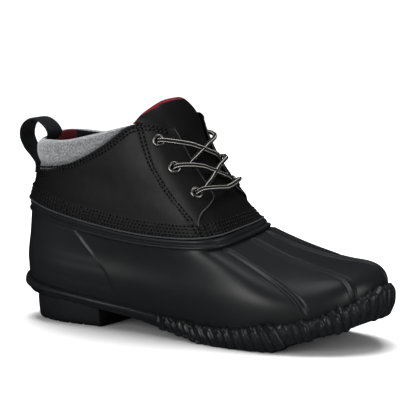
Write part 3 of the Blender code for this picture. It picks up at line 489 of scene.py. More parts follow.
def shell_surface(u, t):
    """Outside of the rubber shell: t runs from 0 at the sole to 1 at the band."""
    foot = station(FOOT_CURVE, u)
    leg = station(LEG_CURVE, u)
    base = foot_plan(u)
    wall = foot_plan(u, foot["wall_out"])
    band = np.stack([leg["band_x"], leg["band_y"]], -1)
    shoulder = base + (band - base) * foot["shoulder_in"][..., None] + (wall - base) * 0.6
    vamp = base + (band - base) * foot["vamp_in"][..., None]
    p0 = with_z(base, sole_at(base[..., 0], "ledge_z") + GAP)
    p1 = with_z(wall, foot["wall_z"])
    p2 = with_z(shoulder, foot["shoulder_z"])
    p3 = with_z(vamp, foot["vamp_z"])
    p4 = with_z(band, leg["band_z"])
    middle = p1 * 0.25 + p2 * 0.5 + p3 * 0.25
    t = np.asarray(t, float)[..., None]
    low = bezier(p0, p1, (p1 + p2) / 2, middle, np.clip(2 * t, 0, 1))
    high = bezier(middle, (p2 + p3) / 2, p3, p4, np.clip(2 * t - 1, 0, 1))
    return np.where(t < 0.5, low, high)


def leg_surface(u, t):
    """Course of the leather leg: t runs from 0 at the band to 1 at the collar."""
    leg = station(LEG_CURVE, u)
    band = np.stack([leg["band_x"], leg["band_y"]], -1)
    top = np.stack([leg["top_x"], leg["top_y"]], -1)
    low = band + (top - band) * leg["low_in"][..., None]
    high = band + (top - band) * leg["high_in"][..., None]
    t = np.asarray(t, float)[..., None]
    return bezier(
        with_z(band, leg["band_z"]), with_z(low, leg["low_z"]), with_z(high, leg["high_z"]),
        with_z(top, leg["top_z"]), t,
    )


def collar_way(u):
    """Way straight up the leg at the collar."""
    return unit(leg_surface(u, np.ones_like(u)) - leg_surface(u, np.full_like(u, 0.98)))


def tongue_surface(u, t):
    """Course of the tongue: up to 0.5 it follows the leg, and from there it rises free."""
    across = (u - TIP) / 4
    away = np.abs(across)
    top = np.stack([
        TONGUE_TOP[0] - TONGUE_TOP_SWEEP * away**1.8, TONGUE_TOP[1] + TONGUE_TOP_HALF * across,
        TONGUE_TOP[2] - TONGUE_TOP_DROP * away**2.6,
    ], -1)
    start = leg_surface(u, np.ones_like(u))
    bend = start + collar_way(u) * np.linalg.norm(top - start, axis=-1, keepdims=True) * 0.45
    s = np.clip(2 * t - 1, 0, 1)[..., None]
    free = (1 - s) ** 2 * start + 2 * s * (1 - s) * bend + s * s * top
    return np.where(t[..., None] <= 0.5, leg_surface(u, np.clip(2 * t, 0, 1)), free)


def surface_frame(surface, u, t):
    """Points and outward normals of a surface, with its millimetres per station and per share."""
    step = 0.01
    along = surface(u + step, t) - surface(u - step, t)
    low, high = np.maximum(t - step, 0.0), np.minimum(t + step, 1.0)
    rising = surface(u, high) - surface(u, low)
    normal = unit(np.cross(along, rising))
    across = np.linalg.norm(along, axis=-1) / (2 * step)
    height = np.linalg.norm(rising, axis=-1) / (high - low)
    return surface(u, t), normal, across, height


def skin(surface, u, t, lift=0.0):
    """Points of a surface, lifted out of it along its normals."""
    points, normal, _, _ = surface_frame(surface, u, t)
    return points + normal * np.asarray(lift)[..., None]


def leg_run(u):
    """Distance up the leg at each of its even steps."""
    u = np.asarray(u, float)[..., None]
    shares = np.linspace(0, 1, LEG_STEPS)
    points = leg_surface(u + 0 * shares, shares + 0 * u)
    pieces = np.linalg.norm(np.diff(points, axis=-2), axis=-1)
    return np.concatenate([np.zeros_like(u), np.cumsum(pieces, -1)], -1)


def leg_length(u):
    return leg_run(u)[..., -1]


def leather_share(u):
    """Share of the leg at which its leather ends."""
    return np.minimum(station(LEG_CURVE, u)["leather"], 1.0)


def leg_share(u, up):
    """Share of the leg that lies at a distance up from the band's lower edge."""
    u, up = np.broadcast_arrays(np.asarray(u, float), np.asarray(up, float))
    run = leg_run(u)
    below = np.clip((run <= up[..., None]).sum(-1) - 1, 0, LEG_STEPS - 2)
    low = np.take_along_axis(run, below[..., None], -1)[..., 0]
    high = np.take_along_axis(run, below[..., None] + 1, -1)[..., 0]
    return np.clip((below + (up - low) / (high - low)) / (LEG_STEPS - 1), 0, 1)


def leg_point(u, up, lift):
    """Points of the leg at a distance up, carried straight on above the collar."""
    u, up = np.broadcast_arrays(np.asarray(u, float), np.asarray(up, float))
    points = skin(leg_surface, u, leg_share(u, up), lift)
    return points + collar_way(u) * np.maximum(up - leg_length(u), 0)[..., None]


def shell_share(u, z):
    """Share of the shell wall at which it passes a height, near the sole."""
    low, high = np.zeros_like(u), np.full_like(u, 0.45)
    for _ in range(18):
        middle = (low + high) / 2
        under = shell_surface(u, middle)[..., 2] < z
        low, high = np.where(under, middle, low), np.where(under, high, middle)
    return low


def smooth(x):
    """Soft step from 0 to 1."""
    x = np.clip(x, 0, 1)
    return x * x * (3 - 2 * x)


def bump(x, width):
    """Soft hump of height 1 at 0."""
    return np.exp(-(np.asarray(x) / width) ** 2)


def edge_drop(distance, radius):
    """How far a rounded edge falls at a distance in from it."""
    d = np.clip(distance, 0, radius)
    return radius - np.sqrt(np.maximum(radius**2 - (radius - d) ** 2, 0))


def mark(points, route, width, height):
    """Lift from a soft ridge, or trough where height is negative, along a short route."""
    route = np.asarray(route, float)
    runs = run_along(route)
    nearest = np.full(points.shape[:-1], 1e9)
    place = np.zeros(points.shape[:-1])
    for k in range(len(route) - 1):
        side = route[k + 1] - route[k]
        share = np.clip(((points - route[k]) @ side) / (side @ side), 0, 1)
        gap = np.linalg.norm(points - route[k] - share[..., None] * side, axis=-1)
        closer = gap < nearest
        nearest = np.where(closer, gap, nearest)
        place = np.where(closer, (runs[k] + share * (runs[k + 1] - runs[k])) / runs[-1], place)
    return height * bump(nearest, width) * np.sin(np.pi * np.clip(place, 0.04, 0.96)) ** 0.6


def spline_through(points, count, closed=False):
    """Even run of points on a smooth curve through a few given ones."""
    points = np.asarray(points, float)
    last = len(points) if closed else len(points) - 1
    fine = []
    for k in range(last):
        a, b = points[k], points[(k + 1) % len(points)]
        before = points[k - 1] if closed or k > 0 else a
        after = points[(k + 2) % len(points)] if closed or k + 2 < len(points) else b
        for t in np.linspace(0, 1, 16, endpoint=False):
            fine.append(0.5 * (
                2 * a + (b - before) * t + (2 * before - 5 * a + 4 * b - after) * t * t
                + (3 * a - before - 3 * b + after) * t**3
            ))
    fine.append(points[0] if closed else points[-1])
    fine = np.array(fine)
    run = run_along(fine)
    places = np.linspace(0, run[-1], count)
    return np.stack([np.interp(places, run, fine[:, k]) for k in range(fine.shape[1])], -1)


# Making pieces.


def to_frame(points):
    """Millimetres from the back of the heel to metres in the boot's frame."""
    points = np.array(points, float)
    points[..., 0] -= HEEL_CENTRE
    return points * MM


def select_only(piece):
    bpy.ops.object.select_all(action="DESELECT")
    piece.select_set(True)
    bpy.context.view_layer.objects.active = piece


def in_edit_mode(piece, *steps):
    """Run edit-mode operators on all of a piece, each a function with no arguments."""
    select_only(piece)
    bpy.ops.object.mode_set(mode="EDIT")
    bpy.ops.mesh.select_all(action="SELECT")
    for step in steps:
        step()
    bpy.ops.object.mode_set(mode="OBJECT")


def apply_modifier(piece, kind, **settings):
    select_only(piece)
    modifier = piece.modifiers.new(kind.title(), kind)
    for name, value in settings.items():
        setattr(modifier, name, value)
    bpy.ops.object.modifier_apply(modifier=modifier.name)


def merge():
    bpy.ops.mesh.remove_doubles(threshold=0.000002)


def outward():
    bpy.ops.mesh.normals_make_consistent(inside=False)


def sheet(name, points, pattern=None):
    """Grid primitive whose rows and columns of vertices are moved to points, in millimetres.

    pattern holds the millimetres across and up the material at each vertex, for its UV map.
    """
    rows, columns = points.shape[:2]
    bpy.ops.object.select_all(action="DESELECT")
    bpy.ops.mesh.primitive_grid_add(
        x_subdivisions=columns - 1, y_subdivisions=rows - 1, size=1, calc_uvs=True,
    )
    piece = bpy.context.object
    piece.name = piece.data.name = name
    piece.data.vertices.foreach_set("co", to_frame(points).astype(np.float32).ravel())
    if pattern is None:
        across = np.linalg.norm(np.diff(points, axis=1), axis=-1).mean(0)
        up = np.linalg.norm(np.diff(points, axis=0), axis=-1).mean(1)
        pattern = grid_of(np.concatenate([[0], np.cumsum(across)]), np.concatenate([[0], np.cumsum(up)]))
    corners = np.empty(len(piece.data.loops), np.int32)
    piece.data.loops.foreach_get("vertex_index", corners)
    uvs = pattern.reshape(-1, 2)[corners]
    piece.data.uv_layers[0].data.foreach_set("uv", uvs.astype(np.float32).ravel())
    piece.data.update()
    return piece


def grid_of(across, up):
    return np.stack(np.broadcast_arrays(across[None, :], up[:, None]), -1)


def closed(name, rings, material, slot, *nodes, pattern=None):
    """Dressed piece from closed rings, merged at its seams and poles, with its faces outwards."""
    piece = sheet(name, rings, pattern)
    in_edit_mode(piece, merge, outward)
    return dress(piece, material, slot, *nodes)


def capped(rings, centre):
    """Rings with a pole at each end."""
    poles = centre + 0 * rings
    return np.concatenate([poles[:1], rings, poles[-1:]])


def tube(name, path, radius, sides, material, slot, solid):
    """Round cord along a path, with UVs round and along it in millimetres."""
    path = np.asarray(path, float)
    tangents = unit(np.gradient(path, axis=0))
    side = np.cross(tangents[0], [0, 0, 1.0])
    sideways = []
    for tangent in tangents:
        side = unit(side - tangent * (side @ tangent))
        sideways.append(side)
    sideways = np.array(sideways)
    upwards = np.cross(sideways, tangents)
    angles = np.linspace(0, 2 * math.pi, sides + 1)
    cos, sin = np.cos(angles)[:, None], np.sin(angles)[:, None]
    ring = cos * sideways[:, None] + sin * upwards[:, None]
    run = run_along(path)
    pattern = grid_of(angles * radius, np.concatenate([run[:1], run, run[-1:]]))
    rings = capped(path[:, None] + ring * radius, path[:, None])
    return closed(name, rings, material, slot, solid, pattern=pattern)


def dress(piece, material, slot, *nodes):
    """Give a piece its material, let it ride and hide the solids it stands for."""
    piece.data.materials.clear()
    piece.data.materials.append(material_of(material))
    select_only(piece)
    bpy.ops.object.shade_smooth_by_angle(angle=math.radians(50))
    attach(piece, "root")
    if nodes:
        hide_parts(*nodes)
    return piece


def copies(name, model, places):
    """One mesh of many copies of a small model at given places, each a little different."""
    bare = np.array([v.co for v in model.data.vertices])
    faces = [list(p.vertices) for p in model.data.polygons]
    vertices, polygons = [], []
    draw = np.random.default_rng(SEED)
    for number, (origin, along, across, up) in enumerate(places):
        size = 1 + SIZE_SPREAD * draw.standard_normal()
        turned = (bare[:, :1] * along + bare[:, 1:2] * across + bare[:, 2:] * up) * size
        aside = across * SIDE_SPREAD * draw.standard_normal()
        sunk = up * DEPTH_SPREAD * abs(draw.standard_normal())
        vertices.append(turned + origin + aside - sunk)
        polygons.extend([[k + number * len(bare) for k in face] for face in faces])
    mesh = bpy.data.meshes.new(name)
    mesh.from_pydata(np.concatenate(vertices).tolist(), [], polygons)
    piece = bpy.data.objects.new(name, mesh)
    bpy.context.scene.collection.objects.link(piece)
    return piece


# Materials.


def node(tree, kind, inputs=(), **settings):
    """Add a node with its settings, and set or link its inputs, given by name or else in order."""
    made = tree.nodes.new(kind)
    for name, value in settings.items():
        setattr(made, name, value)
    for name, value in (inputs.items() if isinstance(inputs, dict) else enumerate(inputs)):
        if isinstance(value, bpy.types.NodeSocket):
            tree.links.new(value, made.inputs[name])
        else:
            made.inputs[name].default_value = value
    return made


def new_material(name, colour, roughness, **sockets):
    material = bpy.data.materials.new(name)
    material.use_nodes = True
    shader = material.node_tree.nodes["Principled BSDF"]
    shader.inputs["Base Color"].default_value = colour
    shader.inputs["Roughness"].default_value = roughness
    for socket, value in sockets.items():
        shader.inputs[socket.replace("_", " ")].default_value = value
    return material, material.node_tree, shader


def blobs(tree, size, detail=2.0):
    """Pattern of blobs that are a real size across, in metres, in the boot's own space."""
    place = node(tree, "ShaderNodeTexCoord").outputs["Object"]
    inputs = {"Vector": place, "Scale": 1 / size, "Detail": detail}
    return node(tree, "ShaderNodeTexNoise", inputs).outputs["Fac"]


def uneven_gloss(tree, shader, size, detail, low, high):
    """Roughness that wanders between two values over patches of a real size."""
    patches = node(tree, "ShaderNodeMapRange", (blobs(tree, size, detail), 0.3, 0.7, low, high))
    tree.links.new(patches.outputs["Result"], shader.inputs["Roughness"])


def relief(tree, shader, *layers):
    """Bumps one over another, lowest first, each from a height and a real depth in metres."""
    under = {}
    for height, depth in layers:
        inputs = {"Height": height, "Distance": depth, "Strength": 1.0, **under}
        under = {"Normal": node(tree, "ShaderNodeBump", inputs).outputs["Normal"]}
    tree.links.new(under["Normal"], shader.inputs["Normal"])


def moulded_rubber(colours):
    """Natural rubber from a satin mould: broad soft highlights with a faint orange peel."""
    material, tree, shader = new_material("Satin moulded rubber", colours.rubber, 0.4, IOR=1.52)
    uneven_gloss(tree, shader, 0.03, 4, 0.34, 0.44)
    relief(tree, shader, (blobs(tree, 0.0011), 0.000035))
    return material


def rope_rubber(colours):
    """The same rubber with painted shade darkening the grooves between the strands, and a sharper sheen on
    them.
    """
    material, tree, shader = new_material("Corded rubber", colours.rubber, 0.32, IOR=1.52)
    # Painted shade: the base colour darkens with the depth of the grooves, which are also made rougher.
    groove_shade = node(tree, "ShaderNodeAttribute", attribute_name="groove_shade").outputs["Fac"]
    inputs = {"Factor": groove_shade, "A": colours.rubber, "B": colours.groove_shade}
    mixed = node(tree, "ShaderNodeMix", inputs, data_type="RGBA")
    tree.links.new(mixed.outputs["Result"], shader.inputs["Base Color"])
    rougher_in_grooves = node(tree, "ShaderNodeMapRange", (groove_shade, 0.0, 0.5, 0.3, 0.7))
    tree.links.new(rougher_in_grooves.outputs["Result"], shader.inputs["Roughness"])
    relief(tree, shader, (blobs(tree, 0.0016, 3), 0.00025))
    return material


def smooth_leather(colours):
    """Full-grain leather with a semi-gloss finish: fine cells and faint wrinkles in the gloss."""
    material, tree, shader = new_material(
        "Smooth finished leather", colours.leather, 0.5, IOR=1.42, Coat_Weight=0.02, Coat_Roughness=0.3,
    )
    uneven_gloss(tree, shader, 0.018, 4, 0.46, 0.58)
    place = node(tree, "ShaderNodeTexCoord").outputs["Object"]
    cells = node(tree, "ShaderNodeTexVoronoi", {"Vector": place, "Scale": 1 / 0.0009}).outputs["Distance"]
    relief(tree, shader, (blobs(tree, 0.006, 5), 0.00016), (cells, 0.00004))
    return material


def burnished_edge_and_highlight(colours):
    """Cut leather edge, waxed and rubbed to a gloss, its colour lightened further as a painted highlight.
    """
    material, tree, shader = new_material("Burnished leather edge", colours.edge, 0.3, IOR=1.5)
    relief(tree, shader, (blobs(tree, 0.003, 3), 0.0003))
    return material


def needle_hole_shade(colours):
    """Near-black matt dots at the ends of the stitches: painted shade of the needle holes."""
    return new_material("Needle hole in leather", colours.hole, 0.95, IOR=1.3)[0]


def bonded_thread(colours):
    """Bonded polyester thread, a little glossier than the leather that it sinks into."""
    material, tree, shader = new_material("Bonded thread", colours.thread, 0.42, IOR=1.5)
    relief(tree, shader, (blobs(tree, 0.0006), 0.0001))
    return material


def wool_felt(colours):
    """Milled wool felt: light and dark fibres mixed to a heathered grey, with no gloss."""
    material, tree, shader = new_material(
        "Heathered wool felt", colours.felt, 0.95, Sheen_Weight=0.3, Sheen_Roughness=0.6, IOR=1.45,
    )
    # Fibres of 0.02 mm are too fine to show, so their tufts are drawn about a millimetre wide.
    ramp = node(tree, "ShaderNodeValToRGB", {"Fac": blobs(tree, 0.0013, 5)})
    ramp.color_ramp.elements.new(0.5)
    fibres = ((0.3, colours.felt_dark), (0.5, colours.felt), (0.7, colours.felt_light))
    for element, (spot, fibre) in zip(ramp.color_ramp.elements, fibres):
        element.position, element.color = spot, fibre
    tree.links.new(ramp.outputs["Color"], shader.inputs["Base Color"])
    relief(tree, shader, (blobs(tree, 0.0007, 4), 0.0003))
    return material


def plaid_fleece(colours):
    """Brushed fleece in a red and black buffalo check, half black where both colours cross."""
    material, tree, shader = new_material(
        "Brushed check fleece", colours.check_red, 0.95, Sheen_Weight=0.06, Sheen_Roughness=0.5, IOR=1.45,
    )
    check = bpy.context.scene.boot_sizes.check / MM
    place = node(tree, "ShaderNodeTexCoord").outputs["UV"]
    axes = node(tree, "ShaderNodeSeparateXYZ", {"Vector": place})
    bands = []
    for axis in "XY":
        wave = node(tree, "ShaderNodeMath", (axes.outputs[axis], check), operation="PINGPONG").outputs[0]
        bands.append(node(tree, "ShaderNodeMath", (wave, check / 2), operation="GREATER_THAN").outputs[0])
    total = node(tree, "ShaderNodeMath", bands, operation="ADD").outputs[0]
    share = node(tree, "ShaderNodeMath", (total, 0.5), operation="MULTIPLY").outputs[0]
    inputs = {"Factor": share, "A": colours.check_black, "B": colours.check_red}
    mixed = node(tree, "ShaderNodeMix", inputs, data_type="RGBA")
    tree.links.new(mixed.outputs["Result"], shader.inputs["Base Color"])
    relief(tree, shader, (blobs(tree, 0.0012, 5), 0.0006))
    return material


def woven_strap(colours):
    """Grosgrain strap: ribs across it, each rib a weft thread."""
    material, tree, shader = new_material(
        "Woven grosgrain strap", colours.strap, 0.62, Sheen_Weight=0.03, IOR=1.48,
    )
    place = node(tree, "ShaderNodeTexCoord").outputs["UV"]
    layers = []
    # Waves at scale 1 are 0.31 of a UV unit long, and a UV unit is a millimetre.
    for way, thread, depth in (("X", 0.6, 0.00005), ("Y", 1.1, 0.00012)):
        inputs = {"Vector": place, "Scale": 0.31 / thread}
        wave = node(tree, "ShaderNodeTexWave", inputs, bands_direction=way)
        layers.append((wave.outputs["Fac"], depth))
    relief(tree, shader, *layers)
    return material


def braided_cord(colours):
    """Round braided lace: black strands with pairs of light stripes, broken where strands cross."""
    material, tree, shader = new_material("Braided lace", colours.cord, 0.7, Sheen_Weight=0.03, IOR=1.45)
    place = node(tree, "ShaderNodeTexCoord").outputs["UV"]
    axes = node(tree, "ShaderNodeSeparateXYZ", {"Vector": place})
    girth = math.pi * bpy.context.scene.boot_sizes.lace / MM
    around, crossing = (
        node(tree, "ShaderNodeMath", (axes.outputs[axis], turn), operation="PINGPONG").outputs[0]
        for axis, turn in (("X", girth / 8), ("Y", 0.55))
    )
    stripe = node(tree, "ShaderNodeMapRange", (around, girth * 0.1, girth * 0.108, 0.0, 1.0)).outputs[0]
    broken = node(tree, "ShaderNodeMapRange", (crossing, 0.1, 0.3, 0.25, 1.0)).outputs[0]
    share = node(tree, "ShaderNodeMath", (stripe, broken), operation="MULTIPLY").outputs[0]
    inputs = {"Factor": share, "A": colours.cord, "B": colours.stripe}
    mixed = node(tree, "ShaderNodeMix", inputs, data_type="RGBA")
    tree.links.new(mixed.outputs["Result"], shader.inputs["Base Color"])
    relief(tree, shader, (crossing, 0.00025))
    return material


def dark_nickel(colours):
    """Brass eyelets plated with dark nickel: sharp small glints, slightly worn."""
    material, tree, shader = new_material("Dark nickel plate", colours.metal, 0.34, Metallic=1.0)
    uneven_gloss(tree, shader, 0.0015, 3, 0.28, 0.42)
    return material


def studio_paper():
    """Matt white paper, so faintly toothed that it only softens the shadow."""
    material, tree, shader = new_material("White studio paper", linear("f4f4f4"), 0.9, IOR=1.4)
    relief(tree, shader, (blobs(tree, 0.002), 0.00002))
    return material


MAKERS = {
    "rubber": moulded_rubber, "rope": rope_rubber, "leather": smooth_leather, "edge": burnished_edge_and_highlight,
    "hole": needle_hole_shade, "thread": bonded_thread, "felt": wool_felt, "fleece": plaid_fleece,
    "webbing": woven_strap, "cord": braided_cord, "metal": dark_nickel,
}
MATERIALS = {}


def material_of(name):
    """One of the boot's materials, made once."""
    if name not in MATERIALS:
        MATERIALS[name] = MAKERS[name](bpy.context.scene.boot_colours)
    return MATERIALS[name]


# Pieces.


def gap_round(u, line):
    """Distance in stations from a line, the short way round the foot."""
    return (u - line + TIP) % ROUND - TIP


def shell_relief(u, w, millimetres, ridge):
    """Lift of the vamp ridges and of the heel counter."""
    rise = smooth((w - RELIEF_START) / 0.28)
    lift = np.zeros_like(u)
    away, half, depth = RIDGE_GROOVES
    for band, sole in RIDGES:
        across = gap_round(u, sole + (band - sole) * w**EDGE_BEND) * millimetres
        lift += rise * (ridge * bump(across, RIDGE_HALF) - depth * bump(np.abs(across) - away, half))
    band, sole = COUNTER
    line = sole + (band - sole) * w**EDGE_BEND
    across = (line - np.minimum(u, ROUND - u)) * millimetres
    start, end = smooth((w - 0.08) / 0.1), smooth((0.97 - w) / 0.06)
    height, half = COUNTER_CREST
    crest = height * bump(across + 0.4, half) * smooth((w - 0.64) / 0.24) * end
    # The counter stands out over its upper part and is sunk a little below it.
    counter = smooth((w - 0.55) / 0.35) - 0.75 * smooth((0.6 - w) / 0.2)
    return lift + start * (COUNTER_LIFT * smooth(across / 2.6 + 0.5) * counter + crest)


def shell_columns():
    """Stations round the shell, closer together where its reliefs run."""
    fine = np.linspace(0, ROUND, 1601)
    weight = np.ones_like(fine)
    for middle, half in FINE_STATIONS:
        weight += 2.2 * smooth((half + 0.15 - np.abs(fine - middle)) / 0.15)
    run = np.concatenate([[0], np.cumsum((weight[1:] + weight[:-1]) / 2)])
    return np.interp(np.linspace(0, run[-1], SHELL_COLUMNS + 1), run, fine)


def make_shell(sizes):
    """Moulded shell with its ridges, heel counter and beaded band, and its plain inner wall."""
    u = shell_columns()
    uu, ww = np.meshgrid(u, np.linspace(0, 1, SHELL_ROWS))
    points, normal, millimetres, _ = surface_frame(shell_surface, uu, ww)
    wall = points + normal * shell_relief(uu, ww, millimetres, sizes.ridge / MM)[..., None]
    runs = spline_through(BAND, 32)
    uu, up = np.meshgrid(u, runs[:, 0])
    band = leg_point(uu, up, np.repeat(runs[:, 1:], len(u), 1))
    uu, ww = np.meshgrid(u, np.linspace(1, 0, 9))
    inner = skin(shell_surface, uu, ww, np.full_like(uu, -SHELL_THICK))
    rings = np.concatenate([wall[:-1], band, inner, wall[:1]])
    closed("shell_skin", rings, "rubber", "rubber", "rubber_shell")


def rand_places(pitch):
    """Stations round the sole: close together where the rope pattern is, wider at the heel."""
    us = np.linspace(0, ROUND, 3201)
    outline = foot_plan(us, 5.0)
    run = run_along(outline)
    half = len(us) // 2
    start = np.interp(ROPE_START, outline[:half, 0], run[:half])
    end = np.interp(-ROPE_START, -outline[half:, 0], run[half:])
    places = np.concatenate([
        np.linspace(0, start - pitch, 90, endpoint=False),
        np.linspace(start - pitch, end + pitch, 960, endpoint=False),
        np.linspace(end + pitch, run[-1], 90),
    ])
    return np.interp(places, run, us), places, start, end


def rope(places, v, start, end, pitch, depth):
    """Lift of the rand: slanted strands, a fine line down each, and puckers at the toe."""
    draw = np.random.default_rng(SEED)
    count = int((end - start) / pitch) + 2
    steps = np.clip(1 + 0.2 * draw.standard_normal(count), 0.6, 1.5)
    edges = start + np.concatenate([[0], np.cumsum(steps / steps.sum())]) * (end - start)
    high = np.clip(1 + 0.28 * draw.standard_normal(count + 1), 0.5, 1.5)
    along = (places - start) / (end - start)
    slant = between([0, 0.33, 0.43, 0.57, 0.67, 1], [1.0, 1.0, 0.55, -0.55, -1.0, -1.0], along)
    lean = (v[:, None] - 0.5) * (1 + 0.25 * np.sin(places / 9.0))
    shifted = places[None, :] + slant[None, :] * pitch * lean * 1.9
    number = np.clip(np.searchsorted(edges, shifted) - 1, 0, count - 1)
    phase = np.clip((shifted - edges[number]) / (edges[number + 1] - edges[number]), 0, 1)
    strand = np.sqrt(np.maximum(1 - (2 * phase - 1) ** 2, 0)) ** 0.7
    line = bump(phase - 0.7, 0.07)
    live = smooth((places - start) / 3) * smooth((end - places) / 3)
    window = smooth((v - 0.1) / 0.14) * smooth((0.9 - v) / 0.1)
    toe = bump(along - 0.5, 0.2)
    lift = depth * ((strand * high[number] - 0.62) * (1 - 0.35 * toe) - 0.22 * line) * window[:, None]
    knot_place = 0.79 + 0.03 * draw.standard_normal(count + 1)[number]
    knot = bump(v[:, None] - knot_place, 0.045) * bump(phase - 0.5, 0.2) * high[number] ** 2
    folds = np.sin(places / 1.9 + 5 * v[:, None]) * np.sin(places / 4.3 - 9 * v[:, None] + 1.0)
    folds += 0.7 * np.sin(places / 1.1 - 11 * v[:, None]) * np.sin(places / 6.1 + 7 * v[:, None])
    puckers = 0.3 * toe * folds * window[:, None]
    return (lift + 0.7 * depth * knot + puckers) * live[None, :]


def make_rand(sizes):
    """Rope-pattern rand in front, running into the smooth rim of the heel."""
    pitch, depth = sizes.rope_pitch / MM, sizes.rope_depth / MM
    u, places, start, end = rand_places(pitch)
    x = foot_plan(u)[:, 0]
    rim, top, tuck, ledge = (sole_at(x, name) for name in ("rim_out", "rand_z", "tuck", "ledge_z"))
    inset, edge, side = foot_plan(u, -7.0), foot_plan(u, rim - tuck), foot_plan(u, rim - 0.4 * tuck)
    foot = sole_at(side[:, 0], "under_z") + 1.0 + 0.4 * tuck
    bulge = foot_plan(u, rim + 0.3)
    section = np.array([
        with_z(inset, sole_at(inset[:, 0], "under_z")),
        with_z(edge, sole_at(edge[:, 0], "under_z")),
        with_z(side, foot),
        with_z(bulge, foot + (top - foot) * 0.33),
        with_z(bulge, foot + (top - foot) * 0.7),
        with_z(foot_plan(u, rim - 0.6), top - 0.6),
        skin(shell_surface, u, shell_share(u, top), np.full_like(u, 0.2)),
        skin(shell_surface, u, shell_share(u, (top + ledge) / 2), np.full_like(u, -0.6)),
    ]).transpose(1, 0, 2)
    rounds = np.array([spline_through(ring, 44) for ring in section]).transpose(1, 0, 2)
    normal = unit(np.cross(np.gradient(rounds, axis=1), np.gradient(rounds, axis=0)))
    lift = rope(places, np.linspace(0, 1, len(rounds)), start, end, pitch, depth)
    points = rounds + normal * lift[..., None]
    points[..., 2] = np.maximum(points[..., 2], 0.0)
    piece = sheet("rope_rand", points)
    # Painted shade: how deep each vertex lies in a groove, kept to darken the rand's colour there.
    groove_shade = piece.data.attributes.new("groove_shade", "FLOAT", "POINT")
    shade_by_depth = np.clip((-lift - 0.1) / (0.6 * depth), 0, 1)
    groove_shade.data.foreach_set("value", shade_by_depth.astype(np.float32).ravel())
    in_edit_mode(piece, merge)
    dress(piece, "rope", "rubber", "outsole")


def make_tread():
    """Underside of the sole, with chevron grooves pressed into it."""
    us = np.linspace(0, ROUND, 1601)
    x = foot_plan(us)[:, 0]
    edge = foot_plan(us, sole_at(x, "rim_out") - sole_at(x, "tuck") + 0.4)
    half = len(us) // 2
    xs = np.linspace(edge[:half, 0].min() + 0.1, edge[:, 0].max() - 0.1, 330)
    halves = edge[:half], edge[half:][::-1]
    outer, inner = (np.interp(xs, np.maximum.accumulate(line[:, 0]), line[:, 1]) for line in halves)
    y = inner + (outer - inner) * np.linspace(0, 1, 90)[:, None]
    x = xs + 0 * y
    z = sole_at(x, "under_z")
    for start in TREAD_GROOVES:
        side = -np.interp(start, xs, outer) - CHEVRON_MARGIN
        centre = start - CHEVRON_SWEEP * np.abs(y) / side + GROOVE_WIDTH / 2
        across = smooth((GROOVE_WIDTH / 2 - np.abs(x - centre)) / 0.5 + 0.5)
        z = z + GROOVE_DEPTH * across * smooth((side - np.abs(y)) / 0.5)
    dress(sheet("tread", np.stack([x, y, z], -1)), "rubber", "rubber", "outsole")


def make_heel_block():
    """Heel block with a softened lower edge and grooves across its tread."""
    us = np.linspace(0, ROUND, 1601)[:-1]
    around = us[foot_plan(us)[:, 0] < HEEL_FRONT]
    split = int(np.argmax(np.diff(around)))
    rings = []
    for z, out in HEEL_BLOCK:
        loops = []
        for part in (around[:split + 1][::2], around[split + 1:][::2]):
            x = foot_plan(part)[:, 0]
            inset = HEEL_INSET * np.maximum(0, 1 - np.maximum(x, 0) / HEEL_CENTRE)
            notch = smooth(np.cos(x / 0.95) * 1.6 - 0.4) * (0.9 if 0.1 < z < 1.5 else 0.0)
            place = foot_plan(part, out - inset - notch)
            under = sole_at(place[:, 0], "under_z")
            loops.append(with_z(place, under + 1.5 if z > under.max() else np.full(len(x), z)))
        front = np.linspace(loops[0][-1], loops[1][0], 14)[1:-1]
        front[:, 0] += 0.6 - 0.09 * (out - HEEL_BLOCK[0][1])
        rings.append(np.concatenate([loops[0], front, loops[1], loops[0][:1]]))
    piece = sheet("heel_block_skin", np.array(rings))

    def close_bottom():
        bpy.ops.mesh.select_mode(type="EDGE")
        bpy.ops.mesh.select_all(action="DESELECT")
        bpy.ops.mesh.select_non_manifold()
        bpy.ops.mesh.edge_face_add()
        bpy.ops.mesh.select_all(action="SELECT")

    in_edit_mode(piece, merge, close_bottom, outward)
    for x in HEEL_GROOVES:
        bpy.ops.object.select_all(action="DESELECT")
        bpy.ops.mesh.primitive_cube_add(size=1, location=to_frame((x, 0, 0)), scale=HEEL_GROOVE)
        cutter = bpy.context.object
        apply_modifier(piece, "BOOLEAN", operation="DIFFERENCE", object=cutter, solver="EXACT")
        bpy.data.objects.remove(cutter)
    dress(piece, "rubber", "rubber", "outsole")


def leather_run(u, share):
    """Bottom and top of the leather as shares of the leg, and a share between them."""
    bottom, top = leg_share(u, LEATHER_UP), leather_share(u)
    return bottom, top, bottom + share * (top - bottom)


def quarter_grid():
    """Stations, shares of the leather and front edge of one quarter, close together at its edges."""
    inner = np.linspace(0, 0.975, 118)
    near_edge = 1 - 0.025 * np.array([0.85, 0.7, 0.56, 0.43, 0.31, 0.2, 0.11, 0.04, 0.0])
    ends = np.array([0.0, 0.004, 0.01, 0.018, 0.028])
    rows = np.concatenate([ends, np.linspace(0.04, 0.96, 84), 1 - ends[::-1]])
    part, share = np.meshgrid(np.concatenate([inner, near_edge]), rows)
    edge = quarter_at(share, "edge")
    return part * edge, share, edge


def eyelet_seats(side):
    """Centre and outward normal of each eyelet of one eyestay, from the lowest up."""
    seats = []
    for share in EYELET_SHARES:
        u = on_side(quarter_at(np.array([share]), "eye"), side)
        bottom = leg_share(u, EYELET_FOOT)
        point, normal, _, _ = surface_frame(leg_surface, u, bottom + share * (1 - bottom))
        seats.append((point[0] + normal[0] * (EYESTAY_LIFT - 0.15), normal[0]))
    return seats


def troughs(distance, rows, trough):
    """Depth of the troughs under rows of stitches, at a distance across the rows."""
    depth, half = trough
    return sum(depth * bump(distance - row, half) for row in rows)


